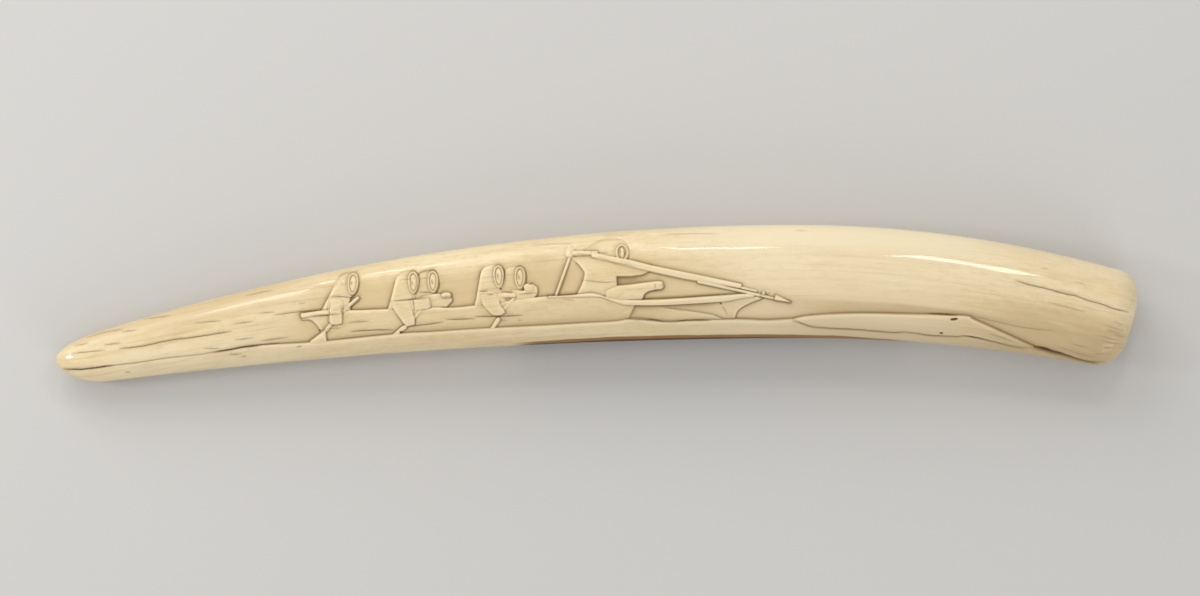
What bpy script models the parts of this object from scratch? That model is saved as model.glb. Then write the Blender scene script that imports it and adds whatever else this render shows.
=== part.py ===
"""A carved ivory tusk, lying on its plain side with the carving on top. Metres, +Z up.

The tusk is a boxy oval section carried along a middle line of two arcs that meet at the crown
of the bend. The carving is a low relief of one boat, its crew and a whale. It is drawn on the
skin in two distances: s runs along the middle line from the crown, the butt way, and d runs
across it, towards the outside of the bend. A height is taken square to the skin, from the old
surface, so what is cut away is below zero.
"""

import math

import bmesh
import bpy
import numpy as np
from mathutils import Vector
from mathutils.geometry import delaunay_2d_cdt

# The tusk.
TIP_REACH = 0.4233
BUTT_REACH = 0.1906
TIP_BEND_RADIUS = 1.823
BUTT_BEND_RADIUS = 0.734
HALF_WIDTH = 0.0324
TIP_HALF_WIDTH = 0.0119
BUTT_HALF_WIDTH = 0.0276
WIDEST_AT = -0.010
THICKNESS = 0.0455
SQUARENESS = 2.25
NOSE_LENGTH = 0.026
NOSE_TURN = 0.003
BUTT_ROUND = 0.020
BUTT_SQUARENESS = 3.0
BUTT_TURN = 0.0012
REST_FLAT_DEPTH = 0.0004
TIP_LIFT = 0.0030
BUTT_LIFT = 0.0008
TIP_LIFT_LENGTH = 0.200
BUTT_LIFT_LENGTH = 0.060

# The carving: where it lies on the skin, and how deep it is cut.
BOAT_LENGTH = 0.262
STERN_AT = -0.283
WHALE_LENGTH = 0.1405
WHALE_AT = -0.003
HOOD_TALL = 0.013
FIELD_DEPTH = 0.0018
HULL_LIP = 0.00035
HULL_SLOPE = 0.045
PANEL_DEPTH = 0.0022
PANEL_SLOPE = 0.12
PANEL_STEP = 0.0004
ARM_GAP_DEPTH = 0.0024
SLOPE_WIDTH = 0.0006
CROWN_WIDTH = 0.0016
CROWN_DROP = 0.0003
CUT_DEPTH = 0.0005
CUT_WIDTH = 0.0011

# How high the tops of the carved forms stand, from the old surface.
FAR_HEIGHT = -0.0008
NEAR_HEIGHT = -0.0004
LAP_HEIGHT = -0.0005
HUNTER_HEIGHT = -0.00045
HUNTER_FACE_HEIGHT = -0.0005
LOW_ARM_HEIGHT = -0.0003
SHAFT_HEIGHT = -0.0002
CUFF_HEIGHT = -0.00005
RAIL_HEIGHT = -0.00005
RUFF_HEIGHT = 0.0003
RUFF_CROWN = 0.0001
WHALE_HEIGHT = 0.0001
WHALE_CROWN = 0.0004
SEA_CROWN = 0.00015
SEA_CUT = 0.0003

# How fine the mesh is.
LINE_STEP = 0.0026
SMALL_LINE_STEP = 0.0019
FEWEST_POINTS = 7
CARVED_STEP = 0.0064
PLAIN_STEP = 0.0105
RING_POINTS = 36
PLAIN_RING_STEP = 0.013
ROUNDING_RINGS = 9
CARVED_MARGIN = 0.012
CARVED_FIELD_START = -45
FIELD_ROUND = 0.93
LINE_ROUND = 0.97
LINE_CLEARANCE = 0.4
FLAT_ROW = 0.9
WELD = 0.00025
CREASE_ANGLE = math.radians(35)

IVORY_COLOUR = (0.79, 0.63, 0.38, 1.0)
IVORY_ROUGHNESS = 0.3

THICKNESS_SHARE = THICKNESS / (2 * HALF_WIDTH)


# The bare tusk.
def half_width(s):
    """Half the tusk's width at s, before its ends are rounded."""
    tip_share = (s - WIDEST_AT) / (TIP_REACH + WIDEST_AT)
    butt_share = (s - WIDEST_AT) / (BUTT_REACH - WIDEST_AT)
    to_tip = HALF_WIDTH - (HALF_WIDTH - TIP_HALF_WIDTH) * tip_share**2
    to_butt = HALF_WIDTH - (HALF_WIDTH - BUTT_HALF_WIDTH) * butt_share**2
    return np.where(s < WIDEST_AT, to_tip, to_butt)


def end_share(s):
    """How much of the section is left at s, where the ends round over to nothing."""
    from_nose = np.clip(1 - (s + TIP_REACH) / NOSE_LENGTH, 0, 1)
    from_butt = np.clip(1 - (BUTT_REACH - s) / BUTT_ROUND, 0, 1)
    nose = np.sqrt(1 - from_nose**2)
    butt = (1 - from_butt**BUTT_SQUARENESS) ** (1 / BUTT_SQUARENESS)
    return nose * butt


def side_shift(s):
    """How far the section's middle leaves the middle line, near the ends."""
    near_tip = np.clip(1 - (s + TIP_REACH) / NOSE_LENGTH, 0, 1)
    near_butt = np.clip(1 - (BUTT_REACH - s) / BUTT_ROUND, 0, 1)
    return NOSE_TURN * near_tip**2 + BUTT_TURN * near_butt


def middle_height(s):
    """Height of the section's middle: the back lies on the ground, but for its lifted ends."""
    near_tip = np.clip(1 - (s + TIP_REACH) / TIP_LIFT_LENGTH, 0, 1)
    near_butt = np.clip(1 - (BUTT_REACH - s) / BUTT_LIFT_LENGTH, 0, 1)
    lift = TIP_LIFT * near_tip**2 + BUTT_LIFT * near_butt**2
    return half_width(s) * THICKNESS_SHARE - REST_FLAT_DEPTH + lift


def unit_section(samples=2000):
    """The section for a half width of 1, from the middle of its top to the middle of its back."""
    angle = np.linspace(0, math.pi, samples)
    power = 2 / SQUARENESS
    across = np.sin(angle) ** power
    up = THICKNESS_SHARE * np.sign(np.cos(angle)) * np.abs(np.cos(angle)) ** power
    steps = np.hypot(np.diff(across), np.diff(up))
    return np.concatenate([[0], np.cumsum(steps)]), across, up


SECTION_ROUND, SECTION_ACROSS, SECTION_UP = unit_section()
HALF_ROUND = SECTION_ROUND[-1]
SIDE_ROUND = SECTION_ROUND[len(SECTION_ROUND) // 2]


def rest_flat_round():
    """The way round from the middle of the back to the flat spot's edge, in half widths."""
    edge_up = REST_FLAT_DEPTH / HALF_WIDTH - THICKNESS_SHARE
    return HALF_ROUND - np.interp(edge_up, SECTION_UP[::-1], SECTION_ROUND[::-1])


def skin(s, q):
    """Points of the bare tusk. q is the way round the section in half widths, 0 on top."""
    size = half_width(s) * end_share(s)
    across = np.sign(q) * np.interp(np.abs(q), SECTION_ROUND, SECTION_ACROSS)
    up = np.interp(np.abs(q), SECTION_ROUND, SECTION_UP)
    radius = np.where(s < 0, TIP_BEND_RADIUS, BUTT_BEND_RADIUS)
    out = radius + side_shift(s) + size * across
    x = out * np.sin(s / radius)
    y = out * np.cos(s / radius) - radius
    z = np.maximum(middle_height(s) + size * up, 0)
    return np.stack([x, y, z], axis=-1)


def skin_normal(s, q, step=2e-5):
    """The outward normals of the bare tusk."""
    along = skin(s + step, q) - skin(s - step, q)
    around = skin(s, q + step) - skin(s, q - step)
    normal = np.cross(along, around)
    length = np.linalg.norm(normal, axis=-1, keepdims=True)
    return normal / np.maximum(length, 1e-12)


def distance_across(s, q):
    """d of a point on the upper side; on the back it stays at the edge."""
    across = np.interp(np.minimum(np.abs(q), SIDE_ROUND), SECTION_ROUND, SECTION_ACROSS)
    return half_width(s) * np.sign(q) * across


def way_round(s, d):
    """q of a point of the upper side that lies at d."""
    share = np.clip(np.abs(d) / half_width(s), 0, 0.999)
    upper = slice(0, len(SECTION_ROUND) // 2)
    return np.sign(d) * np.interp(share, SECTION_ACROSS[upper], SECTION_ROUND[upper])


# Drawing on the skin.
def smooth_line(points, closed=False, parts=8):
    """A smooth curve through a few points."""
    points = np.asarray(points, float)
    count = len(points)
    last = count if closed else count - 1
    run = []
    for i in range(last):
        if closed:
            before, start, end, after = (points[(i + k) % count] for k in (-1, 0, 1, 2))
        else:
            before, start = points[max(i - 1, 0)], points[i]
            end, after = points[i + 1], points[min(i + 2, count - 1)]
        for t in np.arange(parts) / parts:
            pull_start = (end - before) / 2
            pull_end = (after - start) / 2
            run.append(
                (2 * t**3 - 3 * t**2 + 1) * start
                + (t**3 - 2 * t**2 + t) * pull_start
                + (3 * t**2 - 2 * t**3) * end
                + (t**3 - t**2) * pull_end
            )
    if not closed:
        run.append(points[-1])
    return np.array(run)


def even_points(outline, step):
    """The same closed line with points about one step apart."""
    line = np.vstack([outline, outline[:1]])
    lengths = np.concatenate([[0], np.cumsum(np.linalg.norm(np.diff(line, axis=0), axis=1))])
    count = max(int(round(lengths[-1] / step)), FEWEST_POINTS)
    stops = np.linspace(0, lengths[-1], count + 1)[:-1]
    return np.stack([np.interp(stops, lengths, line[:, k]) for k in (0, 1)], axis=1)


def oval(middle, half_wide, half_tall, lean=0.0, points=28):
    """An oval that leans by an angle towards +s."""
    angle = np.linspace(0, 2 * math.pi, points, endpoint=False)
    wide = half_wide * np.cos(angle)
    tall = half_tall * np.sin(angle)
    along = wide * math.cos(lean) + tall * math.sin(lean)
    across = tall * math.cos(lean) - wide * math.sin(lean)
    return np.stack([middle[0] + along, middle[1] + across], axis=1)


def bar(start, end, start_wide, end_wide, round_parts=4):
    """A straight bar with rounded ends, such as a sleeve or a paddle's shaft."""
    start, end = np.asarray(start, float), np.asarray(end, float)
    way = math.atan2(end[1] - start[1], end[0] - start[0])
    run = []
    for middle, wide, turn in ((end, end_wide, -math.pi / 2), (start, start_wide, math.pi / 2)):
        for angle in np.linspace(0, math.pi, round_parts + 1):
            spoke = (math.cos(way + turn + angle), math.sin(way + turn + angle))
            run.append(middle + np.array(spoke) * wide / 2)
    return np.array(run)


def from_edges(upper, lower):
    """A strip between an upper and a lower edge, both drawn from left to right."""
    return np.vstack([smooth_line(upper), smooth_line(lower)[::-1]])


def signed_distance(points, outline):
    """Distance of each point from an outline, above zero inside it."""
    start = outline[None]
    side = np.roll(outline, -1, axis=0)[None] - start
    reach = points[:, None] - start
    length = np.maximum((side**2).sum(-1), 1e-18)
    share = np.clip((reach * side).sum(-1) / length, 0, 1)
    apart = np.sqrt(((reach - share[..., None] * side) ** 2).sum(-1)).min(axis=1)
    crosses = (reach[..., 1] >= 0) != (reach[..., 1] - side[..., 1] >= 0)
    rise = np.where(side[..., 1] == 0, 1e-18, side[..., 1])
    left = reach[..., 0] < reach[..., 1] / rise * side[..., 0]
    return np.where((crosses & left).sum(axis=1) % 2 == 1, apart, -apart)


def soft_step(value):
    value = np.clip(value, 0, 1)
    return value * value * (3 - 2 * value)


class Form:
    """One carved form: its outline on the skin and the height of its top."""

    def __init__(self, outline, height, small=False, crown=CROWN_DROP, cut=CUT_DEPTH):
        step = SMALL_LINE_STEP if small else LINE_STEP
        self.outline = even_points(np.asarray(outline), step)
        if np.sum(np.cross(self.outline, np.roll(self.outline, -1, axis=0))) < 0:
            self.outline = self.outline[::-1]
        self.height = height
        self.crown = crown
        self.cut = cut

    def carve(self, points, height):
        """The heights after this form is carved over what was there."""
        reach = SLOPE_WIDTH + 3 * CUT_WIDTH
        low, high = self.outline.min(axis=0) - reach, self.outline.max(axis=0) + reach
        near = np.flatnonzero(((points > low) & (points < high)).all(axis=1))
        if not len(near):
            return height
        inside = signed_distance(points[near], self.outline)
        cover = soft_step(1 + inside / SLOPE_WIDTH)
        top = self.height(points[near]) if callable(self.height) else self.height
        top = top - self.crown * np.clip(1 - inside / CROWN_WIDTH, 0, 1) ** 2
        cut = self.cut * np.exp(-(((inside + SLOPE_WIDTH) / CUT_WIDTH) ** 2))
        result = height.copy()
        result[near] = (height[near] - cut) * (1 - cover) + top * cover
        return result

    def foot(self):
        """The outline of the foot of the slope round the form."""
        ahead = np.roll(self.outline, -1, axis=0) - np.roll(self.outline, 1, axis=0)
        ahead /= np.maximum(np.linalg.norm(ahead, axis=1, keepdims=True), 1e-12)
        return self.outline + SLOPE_WIDTH * np.stack([ahead[:, 1], -ahead[:, 0]], axis=1)


# The scene is drawn on two plans. On the boat's plan its length is 262, on the whale's 140.5.
BOAT_PLAN_LENGTH = 262
WHALE_PLAN_LENGTH = 140.5
BOAT_UNIT = BOAT_LENGTH / BOAT_PLAN_LENGTH
WHALE_UNIT = WHALE_LENGTH / WHALE_PLAN_LENGTH

# Stations of the sunk field round the crew, along the boat's plan. Each gives its place, where
# the field starts to sink, where it is lowest, and its share of the full depth there.
FIELD = [(-45, 4, -12, 0), (-8, 10, -3, 0.5), (25, 25, 6, 1), (60, 24, 5, 1), (150, 27, 5, 1)]
FIELD += [(190, 28, 3, 1), (235, 12, -6, 0.9), (262, 2, -13, 0.75), (285, -7, -18, 0.6)]
FIELD += [(330, -9, -16, 0.6), (380, -10, -15, 0.7), (425, -12, -20, 0.5), (445, -14, -25, 0)]


def on_boat_plan(points):
    """Places of the boat's plan on the skin."""
    return np.asarray(points, float) * BOAT_UNIT + np.array([STERN_AT, 0])


def on_whale_plan(points):
    return np.asarray(points, float) * WHALE_UNIT + np.array([WHALE_AT, 0])


def boat_place(points):
    """How far along the boat's plan points of the skin lie."""
    return (points[:, 0] - STERN_AT) / BOAT_UNIT


def field_height(points):
    """The sunk field behind the crew, which falls towards the boat and the water."""
    x, top, low, share = smooth_line(FIELD).T
    place = boat_place(points)
    top = np.interp(place, x, top) * BOAT_UNIT
    low = np.interp(place, x, low) * BOAT_UNIT
    share = np.interp(place, x, share)
    return -FIELD_DEPTH * share * soft_step((top - points[:, 1]) / (top - low))


def rising(start_d, end_d, start_height, end_height):
    """A height that changes between two places across the boat's plan."""
    return lambda points: start_height + (end_height - start_height) * soft_step(
        (points[:, 1] / BOAT_UNIT - start_d) / (end_d - start_d)
    )


def boat_bar(start, end, wides, height, **finish):
    """A bar of the boat's plan, such as a shaft or a hand."""
    start_wide, end_wide = (wide * BOAT_UNIT for wide in wides)
    outline = bar(on_boat_plan(start), on_boat_plan(end), start_wide, end_wide)
    return Form(outline, height, small=True, **finish)


def boat_form(corners, height, small=True, **finish):
    return Form(on_boat_plan(corners), height, small, **finish)


# The crew. A hooded paddler seen from the side, in shares of the hood's height, from the
# face's middle.
PADDLER = [(-1.26, -1.4), (-1.12, -0.81), (-0.93, -0.32), (-0.75, 0.16), (-0.62, 0.38)]
PADDLER += [(-0.42, 0.5), (-0.14, 0.53), (0.13, 0.52), (0.23, 0.36), (0.24, 0.1)]
PADDLER += [(0.2, -0.25), (0.05, -0.5), (-0.04, -0.7), (0.0, -1.4)]
LEAN_TOP = 0.3
RUFF = (0.225, 0.5)
FACE = (0.13, 0.38)
FACE_LEAN = math.radians(5)
FACE_CUT = 0.0004
LAP = [(70, 3.6), (78, 4.4), (86, 3), (86.3, -0.5), (83, -3.6), (70, -3)]
FAR_LAP = [(121, 2), (127, 1), (132.5, 4.8), (134.8, 2.5), (135, 0.5), (134.4, -1.5)]
FAR_LAP += [(132.5, -3.6), (126, -4.7), (122, -4)]


def paddler(face_at, lean, height):
    """A hooded paddler with a blank face in the ruff of the hood."""
    middle = on_boat_plan(face_at)
    body = np.array(PADDLER)
    body[:, 0] += lean * np.minimum(body[:, 1], LEAN_TOP)
    ruff, face = (
        oval(middle, HOOD_TALL * wide, HOOD_TALL * tall, FACE_LEAN + lean / 3)
        for wide, tall in (RUFF, FACE)
    )
    return [
        Form(middle + HOOD_TALL * smooth_line(body, closed=True), height),
        Form(ruff, height + RUFF_HEIGHT, small=True, crown=RUFF_CROWN),
        Form(face, height, small=True, cut=FACE_CUT),
    ]


def crew():
    """Five paddlers: two pairs, of which one is half hidden by the other, and one at the stern."""
    forms = []
    for face_at, lean, height in (
        ((76.9, 11.7), 0.0, FAR_HEIGHT),
        ((66.0, 12.5), 0.0, NEAR_HEIGHT),
        ((125.8, 9.0), 0.0, FAR_HEIGHT),
        ((114.0, 10.8), -0.12, NEAR_HEIGHT),
        ((32.3, 16.3), 0.3, NEAR_HEIGHT),
    ):
        forms += paddler(face_at, lean, height)
    forms.append(boat_form(LAP, LAP_HEIGHT))
    forms.append(boat_bar((82.4, 3.1), (84.7, 2.9), (2.8, 2.8), CUFF_HEIGHT))
    forms.append(boat_form(FAR_LAP, LAP_HEIGHT))
    forms.append(boat_bar((130.4, 3.2), (130.6, 3), (3.8, 3.8), CUFF_HEIGHT))
    return forms


# The harpooner, who stands in the bow behind the gunwale, with the gap under the outstretched
# arm cut deeper, and a pole behind the back.
TORSO = [(156.3, 18.9), (159, 14.8), (161.9, 10.3), (162.3, 8), (160.7, 3), (157.4, -3)]
TORSO += [(155, -6), (180, -9), (192, -9), (194, -5), (197, -3), (204, -2), (206, 3)]
TORSO += [(204, 8), (202, 10), (185, 16), (168, 19)]
HUNTER_HOOD = [(162, 19.6), (164.5, 23), (169, 25.4), (173.5, 27.2), (180, 27.6), (185, 26.4)]
HUNTER_HOOD += [(187.6, 23), (187.4, 17.4), (178, 16)]
HUNTER_FACE = (183.9, 19.4)
HUNTER_RUFF_SIZE = (3.6, 4.8)
HUNTER_FACE_SIZE = (2.2, 3.6)
ARM_GAP = [(180.3, 0.4), (180.2, 5.6), (188, 5.1), (195, 5.8), (199, 7.8), (206, 6)]
ARM_GAP += [(209, 4), (209.5, -1), (190, 0.2)]
LOW_ARM = [(180.2, 0.2), (187, 0.4), (195, 1.1), (203, 1.7), (205.7, 1.2), (206.1, -1.5)]
LOW_ARM += [(205, -2.6), (201, -2.9), (197.5, -3.6), (195, -5.2), (193.5, -9), (172, -9), (174, -2)]
FIST = [(153, 19.3), (153.4, 23), (154.4, 26), (156.4, 25.8), (157.6, 23.3), (157.2, 19.6)]
GAP_RISE_AT = 186
RISE_LENGTH = 16


def gap_height(points):
    """The gap under the arm gets shallower until it is level with the open field."""
    share = soft_step((boat_place(points) - GAP_RISE_AT) / RISE_LENGTH)
    return -ARM_GAP_DEPTH + (ARM_GAP_DEPTH + field_height(points)) * share


def harpooner():
    """The standing hunter, the pole, the deep gap under one arm and the other arm below it."""
    ruff, face = (
        oval(on_boat_plan(HUNTER_FACE), wide * BOAT_UNIT, tall * BOAT_UNIT)
        for wide, tall in (HUNTER_RUFF_SIZE, HUNTER_FACE_SIZE)
    )
    return [
        boat_bar((155, 19.6), (144.4, -5), (1.2, 1.0), SHAFT_HEIGHT),
        boat_form(smooth_line(TORSO, closed=True), HUNTER_HEIGHT, small=False),
        boat_form(ARM_GAP, gap_height, crown=0, cut=0),
        boat_form(LOW_ARM, LOW_ARM_HEIGHT),
        boat_form(smooth_line(HUNTER_HOOD, closed=True), HUNTER_HEIGHT, small=False),
        Form(ruff, CUFF_HEIGHT, small=True),
        Form(face, HUNTER_FACE_HEIGHT, small=True),
        boat_form(smooth_line(FIST, closed=True), 0.0),
        boat_bar((157, 21.2), (171, 20.2), (3.4, 2.2), CUFF_HEIGHT),
    ]


# The boat.
GUNWALE = [(0.8, 3.2), (13, 3.2), (25, 1.6), (37, 0), (75, -3.4), (93, -5), (134, -3.3)]
GUNWALE += [(155, -3.8), (166, -4), (180, -7.8), (208, -9), (238, -8), (252, -7.2), (262, -9.6)]
STEM = [(262, -9.6), (254.8, -12.4), (248.6, -16), (246.4, -20), (246.4, -24)]
STERN = [(11.5, -18), (10.4, -8.4), (8.8, -4.4), (5.8, -0.9), (1.2, -0.1)]
BOW_RAIL_TOP = [(153, -3.7), (166, -3.3), (176, -6.8), (187, -8.5), (208, -9), (238, -7.9)]
BOW_RAIL_TOP += [(253, -7.2)]
BOW_RAIL_FOOT = [(162, -4.8), (170, -5.4), (180, -9.4), (187, -11.1), (208, -12.1), (238, -11.2)]
BOW_RAIL_FOOT += [(253, -8.6)]
STERN_RAIL = [(0.8, 3.2), (13, 3.2), (25, 1.7), (24, 0), (6, 1.2), (1, 1)]
PANEL = [(190, -11), (186, -18.8), (188, -24), (241, -24), (241.5, -19), (238, -11)]
PANEL_DEEPEST = -12
PANEL_TALL = 9
PANEL_END_AT = 229
PANEL_END_LENGTH = 12
WEDGE = [(196, -12.4), (206, -13.9), (214, -15.4), (224, -17), (234, -19), (239, -21.5)]
WEDGE += [(240, -24), (189, -24)]
WEDGE_AT = 196


def hull_height(points):
    """The hull's side leans in from its lip down to the water."""
    gunwale = on_boat_plan(GUNWALE)
    drop = np.interp(points[:, 0], gunwale[:, 0], gunwale[:, 1]) - points[:, 1]
    return -HULL_LIP - HULL_SLOPE * np.clip(drop, 0, None)


def panel_height(points):
    """The panel in the bow is deepest under the gunwale, and runs out towards the stem."""
    rise = np.clip(PANEL_DEEPEST * BOAT_UNIT - points[:, 1], 0, PANEL_TALL * BOAT_UNIT)
    deep = -PANEL_DEPTH + PANEL_SLOPE * rise
    share = soft_step((boat_place(points) - PANEL_END_AT) / PANEL_END_LENGTH)
    return deep + (hull_height(points) - deep) * share


def wedge_height(points):
    """The panel's lower part, which stands a step higher towards the stem."""
    share = soft_step((boat_place(points) - WEDGE_AT) / RISE_LENGTH)
    return panel_height(points) + PANEL_STEP * share


def boat():
    """The hull, the sunk panel in its bow, and the raised rails of its gunwale."""
    hull = np.vstack([smooth_line(GUNWALE), smooth_line(STEM), smooth_line(STERN)])
    return [
        boat_form(hull, hull_height, small=False),
        boat_form(PANEL, panel_height, crown=0, cut=0),
        boat_form(WEDGE, wedge_height, crown=0, cut=0),
        boat_form(from_edges(BOW_RAIL_TOP, BOW_RAIL_FOOT), RAIL_HEIGHT),
        boat_form(STERN_RAIL, RAIL_HEIGHT),
    ]


# The water line starts far out on the tip, so the sea has no upright end in the field.
WATER_LINE = [(-140, -2), (-115, -5.5), (-87, -8), (-62, -9), (-42, -10.2), (-27, -11)]
WATER_LINE += [(0, -13.9), (14, -15), (48, -16.1), (60, -16.5), (75, -17.6)]
WATER_LINE += [(103, -18.7), (133, -19.9), (163, -20.4), (178, -20.4), (186, -19.5)]
WATER_LINE += [(193, -19.9), (208, -21.9), (247, -22), (264, -22.8), (282, -22.1), (296, -24)]
WATER_LINE += [(420, -26), (460, -28)]
WHALE_BACK = [(0, -21.9), (9, -20.1), (35, -18), (65, -16.6), (86, -15), (100, -13.9)]
WHALE_BACK += [(104, -15.4), (120, -20), (140.5, -25.5)]
WHALE_BELLY = [(140.5, -25.6), (120, -26.2), (104, -24.9), (88, -26.8), (30, -26.8), (8, -25)]
BELOW_THE_EDGE = 1.6


def sea_and_whale():
    """The old skin left standing below the water line, and the whale's long back on it."""
    top = on_boat_plan(smooth_line(WATER_LINE))
    depth = BELOW_THE_EDGE * HALF_WIDTH
    sea = np.vstack([top, [(top[-1, 0], -depth), (top[0, 0], -depth)]])
    whale = np.vstack([smooth_line(WHALE_BACK), smooth_line(WHALE_BELLY)])
    return [
        Form(sea, 0.0, crown=SEA_CROWN, cut=SEA_CUT),
        Form(on_whale_plan(whale), WHALE_HEIGHT, crown=WHALE_CROWN),
    ]


HARPOON = [(168, 20.2), (176.9, 17.6), (187.5, 14.9), (200.5, 10.9), (212.7, 7.7), (250.3, -1.4)]
HARPOON += [(250.1, -3.8), (218.7, 2.6), (205.7, 6), (192.2, 9.9), (180.8, 13.4), (169, 17.5)]
BARB = [(269.6, -7.9), (271.2, -8.6), (278, -12), (269, -10.6)]


def harpoon():
    """The stout shaft, its two thin foreshafts and the head with its barb and toggle."""
    return [
        boat_form(HARPOON, 0.0),
        boat_bar((226, 0.6), (262, -8.3), (1.2, 1.2), SHAFT_HEIGHT),
        boat_bar((262, -8.3), (277, -11.9), (1.1, 0.5), SHAFT_HEIGHT),
        boat_bar((250.4, -3.4), (258.6, -5.5), (0.9, 0.7), SHAFT_HEIGHT),
        boat_form(BARB, SHAFT_HEIGHT),
        boat_bar((263.4, -6.6), (264.4, -6.2), (1.4, 1.4), NEAR_HEIGHT),
    ]


STERN_BLADE = [(13, -8.4), (8, -11.2), (3.6, -13.6), (4.2, -14.6), (12.7, -15.3)]
STERN_SLEEVE = [(18, 9.4), (16.6, 2), (16, -3.4), (17, -5.2), (20, -5.8), (22.9, -5.6)]
STERN_SLEEVE += [(23.8, -1.4), (24.6, 4), (25, 8.6)]
MIDDLE_BLADE = [(60, -11), (56, -12.5), (51, -16.2), (54.4, -15.9), (59, -13.4)]
MIDDLE_SLEEVE = [(52.6, 3.3), (52.9, -0.6), (57.8, -10.4), (59.9, -12.2), (63.7, -11.8)]
MIDDLE_SLEEVE += [(64.2, -8.4), (63.4, -5), (64, 0), (64, 3.2)]
MIDDLE_ARM = [(63, 2.4), (69, 2.6), (73.4, 2.2), (74.4, 0), (74, -2.7), (72, -3.3), (62.8, -3.5)]
BOW_BLADE = [(112, -13), (110.5, -13.6), (106.6, -18.9), (108.6, -18.9), (112.6, -14.4)]
BOW_SLEEVE = [(102.6, 1.4), (103.8, -4.8), (107.6, -10), (109.2, -11.3), (113, -11.6)]
BOW_SLEEVE += [(115.7, -10.2), (114.6, -8.2), (113.2, -6), (112.7, -3), (113, 1.2)]
BOW_ARM = [(112.5, 0.9), (118, 0.6), (122.2, -0.2), (122, -2.4), (117, -2.6), (112.5, -2)]


def arms_and_paddles():
    """The sleeves that reach over the gunwale, and the paddles whose blades dip in the water."""
    return [
        boat_bar((33.8, 7.8), (24, 0.8), (1.5, 1.5), SHAFT_HEIGHT),
        boat_bar((17.2, -5), (13, -8.8), (1.6, 1.6), SHAFT_HEIGHT),
        boat_form(STERN_BLADE, CUFF_HEIGHT),
        boat_form(STERN_SLEEVE, rising(9, 3, NEAR_HEIGHT, CUFF_HEIGHT)),
        boat_bar((69.6, -2.6), (63.2, -8.9), (1.3, 1.3), SHAFT_HEIGHT),
        boat_form(MIDDLE_BLADE, CUFF_HEIGHT),
        boat_form(MIDDLE_SLEEVE, rising(3, -3, NEAR_HEIGHT, CUFF_HEIGHT)),
        boat_form(MIDDLE_ARM, CUFF_HEIGHT),
        boat_bar((121.6, -2.4), (114.4, -9.2), (1.3, 1.3), SHAFT_HEIGHT),
        boat_form(BOW_BLADE, CUFF_HEIGHT),
        boat_form(BOW_SLEEVE, rising(1, -4, NEAR_HEIGHT, CUFF_HEIGHT)),
        boat_form(BOW_ARM, CUFF_HEIGHT),
    ]


FORMS = crew() + harpooner() + boat() + sea_and_whale() + harpoon() + arms_and_paddles()


def carved_height(s, q):
    """Height of the carving at a place on the skin. The back and the sides are plain."""
    points = np.stack([s, distance_across(s, q)], axis=1)
    height = field_height(points)
    for form in FORMS:
        height = form.carve(points, height)
    return np.where(np.abs(q) < SIDE_ROUND, height, 0)


# The mesh.
CARVED_START = STERN_AT + CARVED_FIELD_START * BOAT_UNIT
CARVED_END = WHALE_AT + WHALE_LENGTH + CARVED_MARGIN


def edge_lines():
    """The lines of the carving that the mesh follows, where no later form covers them."""
    lines = []
    for place, form in enumerate(FORMS):
        for line, lower in ((form.outline, 0.0), (form.foot(), SLOPE_WIDTH)):
            start, end = line, np.roll(line, -1, axis=0)
            seen = np.ones(len(line), bool)
            for later in FORMS[place + 1 :]:
                seen &= signed_distance((start + end) / 2, later.outline) < lower + WELD
            lines += [(start[i], end[i]) for i in np.flatnonzero(seen)]
    return lines


def grid_points(start, end, low, high, step):
    """Rows of evenly spread points, each row half a step on from the last."""
    rows = max(int(round((high - low) / (step * 0.87))), 2)
    found = []
    for row in range(1, rows):
        q = low + (high - low) * row / rows
        shift = step / 2 if row % 2 else step
        found += [(s, q) for s in np.arange(start + shift, end - step / 3, step)]
    return found


def carved_sheet():
    """The skin from before the boat to after the whale, as points (s, q) and triangles."""
    round_size = HALF_WIDTH
    lines = []
    for start, end in edge_lines():
        ends = np.array([start, end])
        if ends[:, 0].min() < CARVED_START + WELD or ends[:, 0].max() > CARVED_END - WELD:
            continue
        if (np.abs(ends[:, 1]) > LINE_ROUND * half_width(ends[:, 0])).any():
            continue
        lines.append(np.stack([ends[:, 0], way_round(*ends.T) * round_size], axis=1))
    lines = np.array(lines)
    limit = HALF_ROUND * round_size
    side = SIDE_ROUND * round_size * FIELD_ROUND
    flat = limit - FLAT_ROW * rest_flat_round() * round_size
    ring = np.linspace(-limit, limit, RING_POINTS + 1)
    border = [(s, q) for s in (CARVED_START, CARVED_END) for q in ring]
    seam_count = int((CARVED_END - CARVED_START) / PLAIN_STEP)
    seam = np.linspace(CARVED_START, CARVED_END, seam_count + 1)[1:-1]
    border += [(s, q) for q in (-limit, limit, -flat, flat) for s in seam]
    loose = np.array(
        grid_points(CARVED_START, CARVED_END, -side, side, CARVED_STEP)
        + grid_points(CARVED_START, CARVED_END, side, flat, PLAIN_STEP)
        + grid_points(CARVED_START, CARVED_END, -flat, -side, PLAIN_STEP)
    )
    middles = lines.reshape(-1, 2)
    gap = np.array([np.hypot(*(middles - point).T).min() for point in loose])
    loose = loose[gap > CARVED_STEP * LINE_CLEARANCE]
    points = np.vstack([border, loose, middles]) / WELD
    first_line = len(border) + len(loose)
    edges = [(first_line + 2 * i, first_line + 2 * i + 1) for i in range(len(lines))]
    made = delaunay_2d_cdt([Vector(point) for point in points], edges, [], 0, 1.0)
    place = np.array([tuple(point) for point in made[0]]) * WELD
    triangles = [tuple(face) for face in made[2]]
    return place[:, 0], place[:, 1] / round_size, triangles


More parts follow.
